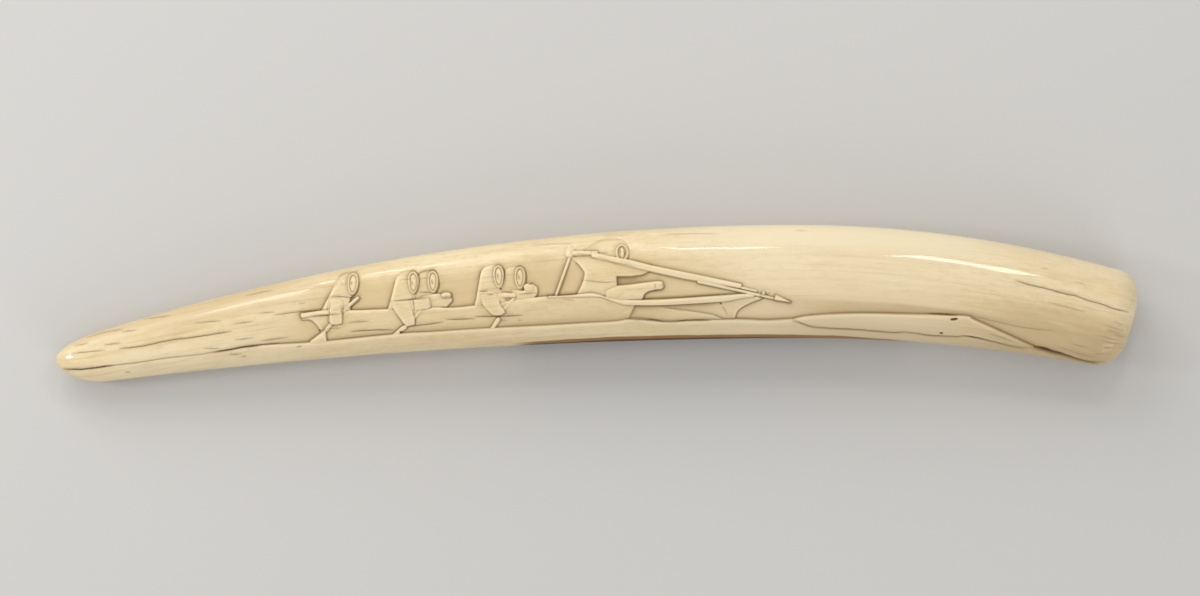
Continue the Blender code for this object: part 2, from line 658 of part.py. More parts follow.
def plain_stations(start, end, end_round):
    """Where the rings of a plain end lie: evenly spread, and closer where the end rounds over."""
    straight = abs(end - start) - end_round
    count = max(int(round(straight / PLAIN_RING_STEP)), 1)
    way = math.copysign(1, end - start)
    even = [start + way * straight * i / count for i in range(1, count + 1)]
    angles = np.linspace(0, math.pi / 2, ROUNDING_RINGS)[1:-1]
    return even + [start + way * (straight + end_round * math.sin(a)) for a in angles]


def add_plain_end(bm, start, end, end_round):
    """Rings from the carved sheet to an end of the tusk, which closes on one point."""
    ring = np.linspace(-HALF_ROUND, HALF_ROUND, RING_POINTS + 1)[:-1]
    rings = []
    for s in [start] + plain_stations(start, end, end_round):
        rings.append([bm.verts.new(point) for point in skin(np.full(len(ring), s), ring)])
    for first, second in zip(rings, rings[1:]):
        for i in range(RING_POINTS):
            j = (i + 1) % RING_POINTS
            bm.faces.new((first[i], first[j], second[j]))
            bm.faces.new((first[i], second[j], second[i]))
    pole = bm.verts.new(skin(np.array([end]), np.array([0.0]))[0])
    for i in range(RING_POINTS):
        bm.faces.new((rings[-1][i], rings[-1][(i + 1) % RING_POINTS], pole))


def tusk_mesh():
    """The whole tusk as one closed surface, with its origin below the middle of its box."""
    s, q, triangles = carved_sheet()
    ends_here = (s < CARVED_START + WELD) | (s > CARVED_END - WELD)
    height = np.where(ends_here, 0, carved_height(s, q))
    q = np.clip(q, -HALF_ROUND, HALF_ROUND)
    points = skin(s, q) + skin_normal(s, q) * height[:, None]
    bm = bmesh.new()
    verts = [bm.verts.new(point) for point in points]
    for a, b, c in triangles:
        bm.faces.new((verts[a], verts[b], verts[c]))
    add_plain_end(bm, CARVED_START, -TIP_REACH, NOSE_LENGTH)
    add_plain_end(bm, CARVED_END, BUTT_REACH, BUTT_ROUND)
    bmesh.ops.remove_doubles(bm, verts=bm.verts, dist=1e-6)
    bmesh.ops.recalc_face_normals(bm, faces=bm.faces)
    places = np.array([tuple(vert.co) for vert in bm.verts])
    middle = (places.min(axis=0) + places.max(axis=0)) / 2
    shift = Vector((-middle[0], -middle[1], -places[:, 2].min()))
    bmesh.ops.translate(bm, verts=bm.verts, vec=shift)
    mesh = bpy.data.meshes.new("carved_tusk")
    bm.to_mesh(mesh)
    bm.free()
    return mesh


def ivory():
    """Old polished ivory."""
    material = bpy.data.materials.new("ivory")
    material.use_nodes = True
    shader = material.node_tree.nodes["Principled BSDF"]
    shader.inputs["Base Color"].default_value = IVORY_COLOUR
    shader.inputs["Roughness"].default_value = IVORY_ROUGHNESS
    shader.inputs["Metallic"].default_value = 0.0
    material.diffuse_color = IVORY_COLOUR
    return material


def main():
    for old in list(bpy.data.objects):
        bpy.data.objects.remove(old, do_unlink=True)
    mesh = tusk_mesh()
    mesh.materials.append(ivory())
    mesh.shade_smooth()
    mesh.set_sharp_from_angle(angle=CREASE_ANGLE)
    tusk = bpy.data.objects.new("carved_tusk", mesh)
    bpy.context.scene.collection.objects.link(tusk)


main()
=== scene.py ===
"""A carved ivory tusk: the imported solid's form, with its finer carving, cracks and old polish."""

import math

import bmesh
import bpy
import numpy as np
from mathutils import Matrix, Vector, noise
from mathutils.geometry import delaunay_2d_cdt
from mathutils.kdtree import KDTree


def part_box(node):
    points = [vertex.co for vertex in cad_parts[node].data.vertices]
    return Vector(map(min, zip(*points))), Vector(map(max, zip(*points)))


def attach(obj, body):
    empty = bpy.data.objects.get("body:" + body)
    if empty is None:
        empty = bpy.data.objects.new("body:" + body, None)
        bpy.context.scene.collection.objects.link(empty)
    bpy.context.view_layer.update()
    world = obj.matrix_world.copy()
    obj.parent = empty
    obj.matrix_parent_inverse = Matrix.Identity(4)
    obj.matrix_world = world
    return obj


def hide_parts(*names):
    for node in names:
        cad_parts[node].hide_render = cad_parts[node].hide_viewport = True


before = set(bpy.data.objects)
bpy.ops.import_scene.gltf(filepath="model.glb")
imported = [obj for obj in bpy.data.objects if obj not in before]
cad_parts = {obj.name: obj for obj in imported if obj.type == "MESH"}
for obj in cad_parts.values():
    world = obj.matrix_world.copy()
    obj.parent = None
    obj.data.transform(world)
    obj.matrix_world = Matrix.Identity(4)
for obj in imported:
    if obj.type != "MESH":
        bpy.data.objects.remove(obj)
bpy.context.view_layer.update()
MM = 0.001


# The bare tusk. One big walrus tooth, scraped and polished, a boxy oval in section. It bends in
# two arcs that meet at the crown of the bend. s runs along its middle line from the crown, the
# butt way, and q runs round the section in half widths, 0 on top, where the carving is.
TIP_REACH = 0.4233
BUTT_REACH = 0.1906
TIP_BEND_RADIUS = 1.823
BUTT_BEND_RADIUS = 0.734
HALF_WIDTH = 0.0324
TIP_HALF_WIDTH = 0.0119
BUTT_HALF_WIDTH = 0.0276
WIDEST_AT = -0.010
THICKNESS_SHARE = 0.0455 / (2 * HALF_WIDTH)
SQUARENESS = 2.25
NOSE_LENGTH = 0.026
NOSE_TURN = 0.003
BUTT_ROUND = 0.020
BUTT_SQUARENESS = 3.0
BUTT_TURN = 0.0012
REST_FLAT_DEPTH = 0.0004
TIP_LIFT = 0.0030
BUTT_LIFT = 0.0008
TIP_LIFT_LENGTH = 0.200
BUTT_LIFT_LENGTH = 0.060


def half_width(s):
    """Half the tusk's width at s, before its ends are rounded."""
    tip_share = (s - WIDEST_AT) / (TIP_REACH + WIDEST_AT)
    butt_share = (s - WIDEST_AT) / (BUTT_REACH - WIDEST_AT)
    to_tip = HALF_WIDTH - (HALF_WIDTH - TIP_HALF_WIDTH) * tip_share**2
    to_butt = HALF_WIDTH - (HALF_WIDTH - BUTT_HALF_WIDTH) * butt_share**2
    return np.where(s < WIDEST_AT, to_tip, to_butt)


def section_size(s):
    """The half width at s with the rounding of the nose and of the butt."""
    from_nose = np.clip(1 - (s + TIP_REACH) / NOSE_LENGTH, 0, 1)
    from_butt = np.clip(1 - (BUTT_REACH - s) / BUTT_ROUND, 0, 1)
    butt = (1 - from_butt**BUTT_SQUARENESS) ** (1 / BUTT_SQUARENESS)
    return half_width(s) * np.sqrt(1 - from_nose**2) * butt


def side_shift(s):
    """How far the section's middle leaves the middle line, near the ends."""
    near_tip = np.clip(1 - (s + TIP_REACH) / NOSE_LENGTH, 0, 1)
    near_butt = np.clip(1 - (BUTT_REACH - s) / BUTT_ROUND, 0, 1)
    return NOSE_TURN * near_tip**2 + BUTT_TURN * near_butt


def middle_height(s):
    """Height of the section's middle: the back lies on the ground, but for its lifted ends."""
    near_tip = np.clip(1 - (s + TIP_REACH) / TIP_LIFT_LENGTH, 0, 1)
    near_butt = np.clip(1 - (BUTT_REACH - s) / BUTT_LIFT_LENGTH, 0, 1)
    lift = TIP_LIFT * near_tip**2 + BUTT_LIFT * near_butt**2
    return half_width(s) * THICKNESS_SHARE - REST_FLAT_DEPTH + lift


SIDE_POINT = 1000
SECTION_ANGLE = np.linspace(0, math.pi, 2 * SIDE_POINT)
SECTION_ACROSS = np.sin(SECTION_ANGLE) ** (2 / SQUARENESS)
SECTION_UP = np.abs(np.cos(SECTION_ANGLE)) ** (2 / SQUARENESS)
SECTION_UP *= THICKNESS_SHARE * np.sign(np.cos(SECTION_ANGLE))
SECTION_ROUND = np.hypot(np.diff(SECTION_ACROSS), np.diff(SECTION_UP))
SECTION_ROUND = np.concatenate([[0], np.cumsum(SECTION_ROUND)])
HALF_ROUND = SECTION_ROUND[-1]
SIDE_ROUND = SECTION_ROUND[SIDE_POINT]


def skin(s, q):
    """Points of the bare tusk."""
    size = section_size(s)
    across = np.sign(q) * np.interp(np.abs(q), SECTION_ROUND, SECTION_ACROSS)
    up = np.interp(np.abs(q), SECTION_ROUND, SECTION_UP)
    radius = np.where(s < 0, TIP_BEND_RADIUS, BUTT_BEND_RADIUS)
    out = radius + side_shift(s) + size * across
    x = out * np.sin(s / radius)
    y = out * np.cos(s / radius) - radius
    z = np.maximum(middle_height(s) + size * up, 0)
    return np.stack([x, y, z], axis=-1)


def skin_normal(s, q, step=2e-5):
    """The outward normals of the bare tusk."""
    along = skin(s + step, q) - skin(s - step, q)
    around = skin(s, q + step) - skin(s, q - step)
    normal = np.cross(along, around)
    return normal / np.maximum(np.linalg.norm(normal, axis=-1, keepdims=True), 1e-12)


def distance_across(s, q):
    """How far a place of the upper side lies from the middle line, seen from above."""
    across = np.interp(np.minimum(np.abs(q), SIDE_ROUND), SECTION_ROUND, SECTION_ACROSS)
    return side_shift(s) + section_size(s) * np.sign(q) * across


def way_round(s, d):
    """q of a place of the upper side that lies at d."""
    d = d - side_shift(s)
    share = np.clip(np.abs(d) / section_size(s), 0, 0.999)
    upper_half = slice(SIDE_POINT)
    return np.sign(d) * np.interp(share, SECTION_ACROSS[upper_half], SECTION_ROUND[upper_half])


# The same skin laid flat: u is the length along it and w the way round it, both in metres.
STATION_COUNT = 6000
STATIONS = (BUTT_REACH - TIP_REACH) / 2 - np.cos(np.linspace(0, math.pi, STATION_COUNT)) * (
    (BUTT_REACH + TIP_REACH) / 2
)
FLAT_LENGTH = np.hypot(np.diff(STATIONS), np.diff(section_size(STATIONS)))
FLAT_LENGTH = np.concatenate([[0], np.cumsum(FLAT_LENGTH)])


def laid_flat(s, q):
    """Where a place of the skin lies on the flat sheet."""
    return np.stack([np.interp(s, STATIONS, FLAT_LENGTH), q * section_size(s)], axis=-1)


def from_flat(u, w):
    """The place of the skin that a point of the flat sheet stands for."""
    s = np.interp(u, FLAT_LENGTH, STATIONS)
    return s, np.clip(w / np.maximum(section_size(s), 1e-9), -HALF_ROUND, HALF_ROUND)


# The sunk ground. The carver drew the scene on the skin and cut the ground away round it with a
# graver and scrapers. The scene is drawn in two distances, s along and d across, on two plans
# in millimetres: the boat's, which starts at its stern, and the whale's, from its head.
STERN_AT = -0.283
WHALE_AT = -0.003
FIELD_DEPTH = 0.0018
SLOPE_WIDTH = 0.00045
CROWN_WIDTH = 0.0016
CROWN_DROP = 0.0004
CUT_DEPTH = 0.0004
CUT_WIDTH = 0.0007
FULL_STEP = 0.0006
STAIN_WIDTH = 0.00055
SHADE_WIDTH = 0.0022
SHADE_SHARE = 0.28
WORN_LIT_WIDTH = 0.0012
LINE_STEP = 0.0005
MAKE_CHUNK = 4000

FIELD = [(-45, 4, -12, 0), (-8, 10, -3, 0.5), (25, 25, 6, 1), (60, 24, 5, 1), (150, 27, 5, 1)]
FIELD += [(190, 28, 3, 1), (235, 12, -6, 0.9), (262, 2, -13, 0.75), (285, -7, -18, 0.6)]
FIELD += [(330, -9, -16, 0.6), (380, -10, -15, 0.7), (425, -12, -20, 0.5), (445, -14, -25, 0)]


def on_boat_plan(points):
    return np.asarray(points, float) * MM + np.array([STERN_AT, 0])


def on_whale_plan(points):
    return np.asarray(points, float) * MM + np.array([WHALE_AT, 0])


def smooth_line(points, closed=False, parts=8):
    """A smooth curve through a few points."""
    points = np.asarray(points, float)
    count = len(points)
    run = []
    for i in range(count if closed else count - 1):
        if closed:
            before, start, end, after = (points[(i + k) % count] for k in (-1, 0, 1, 2))
        else:
            before, start = points[max(i - 1, 0)], points[i]
            end, after = points[i + 1], points[min(i + 2, count - 1)]
        for t in np.arange(parts) / parts:
            run.append(
                (2 * t**3 - 3 * t**2 + 1) * start
                + (t**3 - 2 * t**2 + t) * (end - before) / 2
                + (3 * t**2 - 2 * t**3) * end
                + (t**3 - t**2) * (after - start) / 2
            )
    if not closed:
        run.append(points[-1])
    return np.array(run)


def even_points(line, step, closed=True):
    """Points about one step apart on a line."""
    if closed:
        line = np.vstack([line, line[:1]])
    lengths = np.concatenate([[0], np.cumsum(np.linalg.norm(np.diff(line, axis=0), axis=1))])
    count = max(int(round(lengths[-1] / step)), 7 if closed else 1)
    stops = np.linspace(0, lengths[-1], count + 1)
    spaced = np.stack([np.interp(stops, lengths, line[:, k]) for k in (0, 1)], axis=1)
    return spaced[:-1] if closed else spaced


def soft_step(value):
    value = np.clip(value, 0, 1)
    return value * value * (3 - 2 * value)


def from_segments(points, start, end):
    """Each point's distance from the nearest segment, with its number and the share along it."""
    side = (end - start)[None]
    reach = points[:, None] - start[None]
    length = np.maximum((side**2).sum(-1), 1e-18)
    share = np.clip((reach * side).sum(-1) / length, 0, 1)
    apart = np.sqrt(((reach - share[..., None] * side) ** 2).sum(-1))
    nearest = apart.argmin(axis=1)
    row = np.arange(len(points))
    return apart[row, nearest], nearest, share[row, nearest]


def signed_distance(points, outline):
    """Distance of each point from an outline, above zero inside it."""
    end = np.roll(outline, -1, axis=0)
    found = []
    for first in range(0, len(points), MAKE_CHUNK):
        some = points[first : first + MAKE_CHUNK]
        apart = from_segments(some, outline, end)[0]
        reach = some[:, None] - outline[None]
        side = (end - outline)[None]
        crosses = (reach[..., 1] >= 0) != (reach[..., 1] - side[..., 1] >= 0)
        rise = np.where(side[..., 1] == 0, 1e-18, side[..., 1])
        left = reach[..., 0] < reach[..., 1] / rise * side[..., 0]
        found.append(np.where((crosses & left).sum(axis=1) % 2 == 1, apart, -apart))
    return np.concatenate(found)


class Form:
    """One carved form: its outline on the skin, the height of its top, and the dirt and painted
    shade at its foot.
    """

    def __init__(self, outline, height, crown=CROWN_DROP, cut=CUT_DEPTH, dirt=1.0):
        outline = np.asarray(outline, float)
        if np.sum(np.cross(outline, np.roll(outline, -1, axis=0))) < 0:
            outline = outline[::-1]
        self.outline = outline
        self.height = height
        self.crown = crown
        self.cut = cut
        self.dirt = dirt

    def inside(self, points, margin):
        """The numbers of the points near the form, and how far they lie inside its outline."""
        low, high = self.outline.min(axis=0) - margin, self.outline.max(axis=0) + margin
        near = np.flatnonzero(((points > low) & (points < high)).all(axis=1))
        if not len(near):
            return near, np.zeros(0)
        return near, signed_distance(points[near], self.outline)

    def carve(self, points, height, dirt, worn_and_lit):
        """Height, dirt with painted shade, and wear with painted highlight after this form is
        carved over what was there.
        """
        near, inside = self.inside(points, SLOPE_WIDTH + 2 * SHADE_WIDTH)
        if not len(near):
            return
        cover = np.clip(1 + inside / SLOPE_WIDTH, 0, 1)
        top = self.height(points[near]) if callable(self.height) else self.height
        step = (top - height[near]) / FULL_STEP
        top = top - self.crown * np.clip(1 - inside / CROWN_WIDTH, 0, 1) ** 2
        from_foot = np.where(step > 0, inside + SLOPE_WIDTH, inside)
        up = np.clip(step, 0, 1)
        cut = self.cut * up * np.exp(-((from_foot / CUT_WIDTH) ** 2))
        height[near] = (height[near] - cut) * (1 - cover) + top * cover
        # The sharp line at the foot is dirt in the cut; the wide soft darkening round it is painted
        # shade.
        sharp = np.exp(-((from_foot / STAIN_WIDTH) ** 2))
        soft = SHADE_SHARE * np.exp(-((from_foot / SHADE_WIDTH) ** 2))
        foot = self.dirt * np.clip(np.abs(step), 0, 1) * np.maximum(sharp, soft)
        outside = np.where(step > 0, 1 - cover, cover)
        dirt[near] = np.maximum(dirt[near] * (1 - cover), foot * np.maximum(outside, sharp))
        # The lighter rim along the top of a raised form is wear and painted highlight.
        edge = up * np.exp(-((np.maximum(inside, 0) / WORN_LIT_WIDTH) ** 2))
        worn_and_lit[near] = worn_and_lit[near] * (1 - cover) + edge * cover

    def ring(self, outward):
        """The outline's points, moved outward by a distance."""
        line = even_points(self.outline, LINE_STEP)
        ahead = np.roll(line, -1, axis=0) - np.roll(line, 1, axis=0)
        ahead /= np.maximum(np.linalg.norm(ahead, axis=1, keepdims=True), 1e-12)
        return line + outward * np.stack([ahead[:, 1], -ahead[:, 0]], axis=1)


def oval(middle, half_wide, half_tall, lean=0.0, points=28, egg=0.0):
    """An oval that leans by an angle towards +s. An egg is wider at its top."""
    angle = np.linspace(0, 2 * math.pi, points, endpoint=False)
    wide, tall = half_wide * np.cos(angle), half_tall * np.sin(angle)
    wide = wide * (1 + egg * np.sin(angle))
    along = wide * math.cos(lean) + tall * math.sin(lean)
    across = tall * math.cos(lean) - wide * math.sin(lean)
    return np.stack([middle[0] + along, middle[1] + across], axis=1)


def bar(start, end, start_wide, end_wide, round_parts=5):
    """A straight bar with rounded ends, such as a sleeve or a paddle's shaft."""
    start, end = np.asarray(start, float), np.asarray(end, float)
    way = math.atan2(end[1] - start[1], end[0] - start[0])
    run = []
    for middle, wide, turn in ((end, end_wide, -math.pi / 2), (start, start_wide, math.pi / 2)):
        for angle in np.linspace(0, math.pi, round_parts + 1):
            spoke = (math.cos(way + turn + angle), math.sin(way + turn + angle))
            run.append(middle + np.array(spoke) * wide / 2)
    return np.array(run)


def from_edges(upper, lower):
    """A strip between an upper and a lower edge, both drawn from left to right."""
    return np.vstack([smooth_line(upper), smooth_line(lower)[::-1]])


def field_height(points):
    """The sunk ground, which falls towards the boat and the water."""
    x, top, low, share = smooth_line(FIELD).T
    place = (points[:, 0] - STERN_AT) / MM
    top = np.interp(place, x, top) * MM
    low = np.interp(place, x, low) * MM
    share = np.interp(place, x, share)
    return -FIELD_DEPTH * share * soft_step((top - points[:, 1]) / (top - low))


# The crew. Five hooded paddlers seen from the side, cut from the skin that is left standing in
# the ground: two pairs, each with one half behind the other, and one at the stern. The blank
# oval face of each sits in the thick ruff of the hood.
HOOD_TALL = 13 * MM
PADDLER = [(-1.26, -1.4), (-1.12, -0.81), (-0.93, -0.32), (-0.75, 0.16), (-0.62, 0.38)]
PADDLER += [(-0.42, 0.5), (-0.14, 0.53), (0.13, 0.52), (0.23, 0.36), (0.24, 0.1)]
PADDLER += [(0.2, -0.25), (0.05, -0.5), (-0.04, -0.7), (0.0, -1.4)]
RUFF = (0.212, 0.485)
FACE_SINK = (0.145, 0.405)
FACE = (0.1, 0.33)
FACE_LEAN = math.radians(5)
FAR_HEIGHT = -0.8 * MM
NEAR_HEIGHT = -0.4 * MM
RUFF_HEIGHT = 0.4 * MM
LAP_HEIGHT = -0.5 * MM
forms = []


def boat_bar(start, end, wides, height, **finish):
    """A bar of the boat's plan, such as a shaft or a hand."""
    start_wide, end_wide = (wide * MM for wide in wides)
    outline = bar(on_boat_plan(start), on_boat_plan(end), start_wide, end_wide)
    forms.append(Form(outline, height, **finish))


def boat_form(corners, height, **finish):
    forms.append(Form(on_boat_plan(corners), height, **finish))


def rising(start_d, end_d, start_height, end_height):
    """A height that changes between two places across the skin."""
    return lambda points: start_height + (end_height - start_height) * soft_step(
        (points[:, 1] / MM - start_d) / (end_d - start_d)
    )


def growing(start_x, end_x, start_height, end_height):
    """A height that changes between two places along the boat."""
    return lambda points: start_height + (end_height - start_height) * soft_step(
        ((points[:, 0] - STERN_AT) / MM - start_x) / (end_x - start_x)
    )


def carve_paddler(face_at, lean, height):
    middle = on_boat_plan(face_at)
    body = np.array(PADDLER)
    body[:, 0] += lean * np.minimum(body[:, 1], 0.3)
    ruff, sink, face = (
        oval(middle, HOOD_TALL * wide, HOOD_TALL * tall, FACE_LEAN + lean / 3, egg=0.16)
        for wide, tall in (RUFF, FACE_SINK, FACE)
    )
    forms.append(Form(middle + HOOD_TALL * smooth_line(body, closed=True), height))
    forms.append(Form(ruff, height + RUFF_HEIGHT, crown=RUFF_HEIGHT, dirt=1.1))
    forms.append(Form(sink, height - 0.35 * MM, crown=0, dirt=0.7))
    forms.append(Form(face, height, crown=0.3 * MM, dirt=0.6))


for face_at, lean, height in (
    ((76.9, 11.7), 0.0, FAR_HEIGHT),
    ((66.0, 12.5), 0.0, NEAR_HEIGHT),
    ((125.8, 9.0), 0.0, FAR_HEIGHT),
    ((114.0, 10.8), -0.12, NEAR_HEIGHT),
    ((32.3, 16.3), 0.3, NEAR_HEIGHT),
):
    carve_paddler(face_at, lean, height)
boat_form([(70, 3.6), (78, 4.4), (86, 3), (86.3, -0.5), (83, -3.6), (70, -3)], LAP_HEIGHT)
boat_bar((82.4, 3.1), (84.7, 2.9), (2.8, 2.8), -0.1 * MM)
boat_form(
    [(121, 2), (127, 1), (132.5, 4.8), (134.8, 2.5), (135, 0.5), (134.4, -1.5), (132.5, -3.6)]
    + [(126, -4.7), (122, -4)],
    LAP_HEIGHT,
)
boat_bar((129.4, 3.2), (131.2, 2.6), (3.6, 3.2), -0.2 * MM, dirt=0.6)


# The harpooner's body. The hunter stands in the bow, hooded, with a pole slanting down behind
# the back, and the boat's side comes in front. The ground under the outstretched arm is cut
# deeper than the rest.
ARM_GAP_DEPTH = 2.4 * MM
TORSO = [(156.3, 18.9), (159, 14.8), (161.9, 10.3), (162.3, 8), (160.7, 3), (157.4, -3)]
TORSO += [(155, -6), (180, -9), (192, -9), (194, -5), (197, -3), (204, -2), (206, 3)]
TORSO += [(204, 8), (202, 10), (185, 16), (168, 19)]
HUNTER_HOOD = [(162, 19.6), (164.5, 23), (169, 25.4), (173.5, 27.2), (180, 27.6), (185, 26.4)]
HUNTER_HOOD += [(187.6, 23), (187.4, 17.4), (178, 16)]
ARM_GAP = [(180.3, 0.4), (180.2, 5.6), (188, 5.1), (195, 5.8), (199, 7.8), (206, 6)]
ARM_GAP += [(209, 4), (209.5, -1), (190, 0.2)]
LOW_ARM = [(180.2, 0.2), (187, 0.4), (195, 1.1), (203, 1.7), (205.7, 1.2), (206.1, -1.5)]
LOW_ARM += [(205, -2.6), (201, -2.9), (197.5, -3.6), (195, -5.2), (193.5, -9), (172, -9), (174, -2)]
FIST = [(153, 19.3), (153.4, 23), (154.4, 26), (156.4, 25.8), (157.6, 23.3), (157.2, 19.6)]
HUNTER_FACE = (183.9, 19.4)


def gap_height(points):
    """The gap under the arm gets shallower until it is level with the open ground."""
    place = (points[:, 0] - STERN_AT) / MM
    open_ground = field_height(points)
    return -ARM_GAP_DEPTH + (ARM_GAP_DEPTH + open_ground) * soft_step((place - 186) / 16)


boat_bar((155, 19.6), (144.4, -5), (1.2, 1.0), -0.2 * MM)
boat_form(smooth_line(TORSO, closed=True), -0.5 * MM)
boat_form(ARM_GAP, gap_height, crown=0, cut=0, dirt=1.2)
boat_form(LOW_ARM, -0.3 * MM, crown=0.5 * MM)
boat_form(smooth_line(HUNTER_HOOD, closed=True), -0.45 * MM, crown=0.25 * MM, dirt=0.35)
for (wide, tall), height, crown, dirt in (
    ((3.4, 4.6), -0.05 * MM, 0.35 * MM, 0.8),
    ((2.3, 3.6), -0.75 * MM, 0.0, 0.9),
    ((0.9, 2.8), -0.3 * MM, 0.2 * MM, 0.8),
):
    ring = oval(on_boat_plan(HUNTER_FACE), wide * MM, tall * MM)
    forms.append(Form(ring, height, crown=crown, dirt=dirt))
boat_form(smooth_line(FIST, closed=True), 0.0, crown=0.3 * MM, dirt=0.4)
boat_bar((157.4, 20.7), (169.5, 20), (2.3, 1.9), 0.15 * MM, dirt=1.0)


# The boat. An open skin boat in side view, its hull sloping in a little from the gunwale to the
# water. The rail stands out along the bow and at the stern, and the bow holds a sunk panel
# whose lower part is cut a step higher.
HULL_LIP = 0.00035
HULL_SLOPE = 0.045
PANEL_DEPTH = 0.0022
PANEL_SLOPE = 0.12
PANEL_STEP = 0.0004
RAIL_HEIGHT = -0.05 * MM

GUNWALE = [(0.8, 3.2), (13, 3.2), (25, 1.6), (37, 0), (75, -3.4), (93, -5), (134, -3.3)]
GUNWALE += [(155, -3.8), (166, -4), (180, -7.8), (208, -9), (238, -8), (252, -7.2), (262, -9.6)]
STEM = [(262, -9.6), (254.8, -12.4), (248.6, -16), (246.4, -20), (246.4, -24)]
STERN = [(11.5, -18), (10.4, -8.4), (8.8, -4.4), (5.8, -0.9), (1.2, -0.1)]
BOW_RAIL_TOP = [(141, -3.3), (153, -3.6), (166, -3.3), (176, -6.8), (187, -8.5), (208, -9)]
BOW_RAIL_TOP += [(238, -7.9), (253, -7.1), (257.4, -8.2)]
BOW_RAIL_FOOT = [(141, -3.8), (158, -4.5), (170, -5.4), (180, -9.4), (187, -11.1), (208, -12.1)]
BOW_RAIL_FOOT += [(238, -11.2), (249, -9.5), (257, -8.6)]
STERN_RAIL = [(0.8, 3.2), (13, 3.2), (25, 1.7), (24, 0), (6, 1.2), (1, 1)]
PANEL = [(190, -11), (186, -18.8), (188, -24), (241, -24), (241.5, -19), (238, -11)]
WEDGE = [(196, -12.4), (206, -13.9), (214, -15.4), (224, -17), (234, -19), (239, -21.5)]
WEDGE += [(240, -24), (189, -24)]


def hull_height(points):
    gunwale = on_boat_plan(GUNWALE)
    drop = np.interp(points[:, 0], gunwale[:, 0], gunwale[:, 1]) - points[:, 1]
    return -HULL_LIP - HULL_SLOPE * np.clip(drop, 0, None)


def panel_height(points):
    """The panel is deepest under the rail, and runs out towards the stem."""
    deep = -PANEL_DEPTH + PANEL_SLOPE * np.clip(-12 * MM - points[:, 1], 0, 9 * MM)
    place = (points[:, 0] - STERN_AT) / MM
    return deep + (hull_height(points) - deep) * soft_step((place - 229) / 12)


def wedge_height(points):
    place = (points[:, 0] - STERN_AT) / MM
    return panel_height(points) + PANEL_STEP * soft_step((place - 196) / 16)


boat_form(np.vstack([smooth_line(GUNWALE), smooth_line(STEM), smooth_line(STERN)]), hull_height)
boat_form(PANEL, panel_height, crown=0, cut=0)
boat_form(WEDGE, wedge_height, crown=0, cut=0)
boat_form(from_edges(BOW_RAIL_TOP, BOW_RAIL_FOOT), RAIL_HEIGHT)
boat_form(STERN_RAIL, RAIL_HEIGHT, crown=0.25 * MM)


# The sea and the whale. The old skin, left standing below the ground, is the water, and its
# edge is the water line, which starts far out on the tip. The whale's long back lies in it, a
# smooth low ridge that points its tail at the butt.
WATER_LINE = [(-140, -2), (-115, -5.5), (-87, -8), (-62, -9), (-42, -10.2), (-27, -11)]
WATER_LINE += [(0, -13.9), (14, -15), (48, -16.1), (60, -16.5), (75, -17.6)]
WATER_LINE += [(103, -18.7), (133, -19.9), (163, -20.4), (178, -20.4), (186, -19.5)]
WATER_LINE += [(193, -19.9), (208, -21.9), (247, -22), (264, -22.8), (282, -22.1), (296, -24)]
WATER_LINE += [(420, -26), (460, -28)]
WHALE_BACK = [(0, -21.9), (9, -20.1), (35, -18), (65, -16.6), (86, -15), (100, -13.9)]
WHALE_BACK += [(104, -15.4), (120, -20), (140.5, -25.5)]
WHALE_BELLY = [(140.5, -25.6), (120, -26.2), (104, -24.9), (88, -26.8), (30, -26.8), (8, -25)]
SEA_DEPTH = 52 * MM

water_top = on_boat_plan(smooth_line(WATER_LINE))
sea = np.vstack([water_top, [(water_top[-1, 0], -SEA_DEPTH), (water_top[0, 0], -SEA_DEPTH)]])
forms.append(Form(sea, 0.0, crown=0.15 * MM, cut=0.3 * MM))
whale = np.vstack([smooth_line(WHALE_BACK), smooth_line(WHALE_BELLY)])
forms.append(Form(on_whale_plan(whale), 0.1 * MM, crown=0.4 * MM))


# The harpoon. A stout shaft that the hunter holds along the outstretched arm, with two thin
# foreshafts. The head with its barb lies over the whale.
HARPOON = [(166.5, 20.7), (176.9, 17.6), (187.5, 14.9), (200.5, 10.9), (212.7, 7.7), (250.3, -1.4)]
HARPOON += [(250.1, -3.8), (218.7, 2.6), (205.7, 6), (192.2, 9.9), (180.8, 13.4), (167, 18)]
BARB = [(269.6, -7.9), (271.2, -8.6), (278, -12), (269, -10.6)]

boat_form(HARPOON, 0.0, crown=0.5 * MM)
boat_bar((226, 0.6), (262, -8.3), (1.2, 1.2), -0.2 * MM)
boat_bar((262, -8.3), (277, -11.9), (1.1, 0.5), -0.2 * MM)
boat_bar((250.4, -3.4), (258.6, -5.5), (0.9, 0.7), -0.3 * MM, dirt=0.7)
boat_form(BARB, 0.0, crown=0.2 * MM)
boat_bar((262.6, -6.7), (265, -5.9), (1.5, 1.5), -0.3 * MM)
boat_bar((263.5, -6.5), (264.2, -6.2), (0.5, 0.5), -0.9 * MM)


# Arms and paddles. Each paddler's near sleeve reaches over the gunwale, with the shaft of the
# paddle crossing it and its blade in the water. They are the highest of the relief, nearly
# level with the old skin.
SHAFT_HEIGHT = -0.2 * MM
CUFF_HEIGHT = -0.05 * MM
STERN_SLEEVE = [(18, 9.4), (16.6, 2), (16, -3.4), (17, -5.2), (20, -5.8), (22.9, -5.6)]
STERN_SLEEVE += [(23.8, -1.4), (24.6, 4), (25, 8.6)]
MIDDLE_SLEEVE = [(52.6, 3.3), (52.9, -0.6), (57.8, -10.4), (59.9, -12.2), (63.7, -11.8)]
MIDDLE_SLEEVE += [(64.2, -8.4), (63.4, -5), (64, 0), (64, 3.2)]
BOW_SLEEVE = [(102.6, 1.4), (103.8, -4.8), (107.6, -10), (109.2, -11.3), (113, -11.6)]
BOW_SLEEVE += [(115.7, -10.2), (114.6, -8.2), (113.2, -6), (112.7, -3), (113, 1.2)]

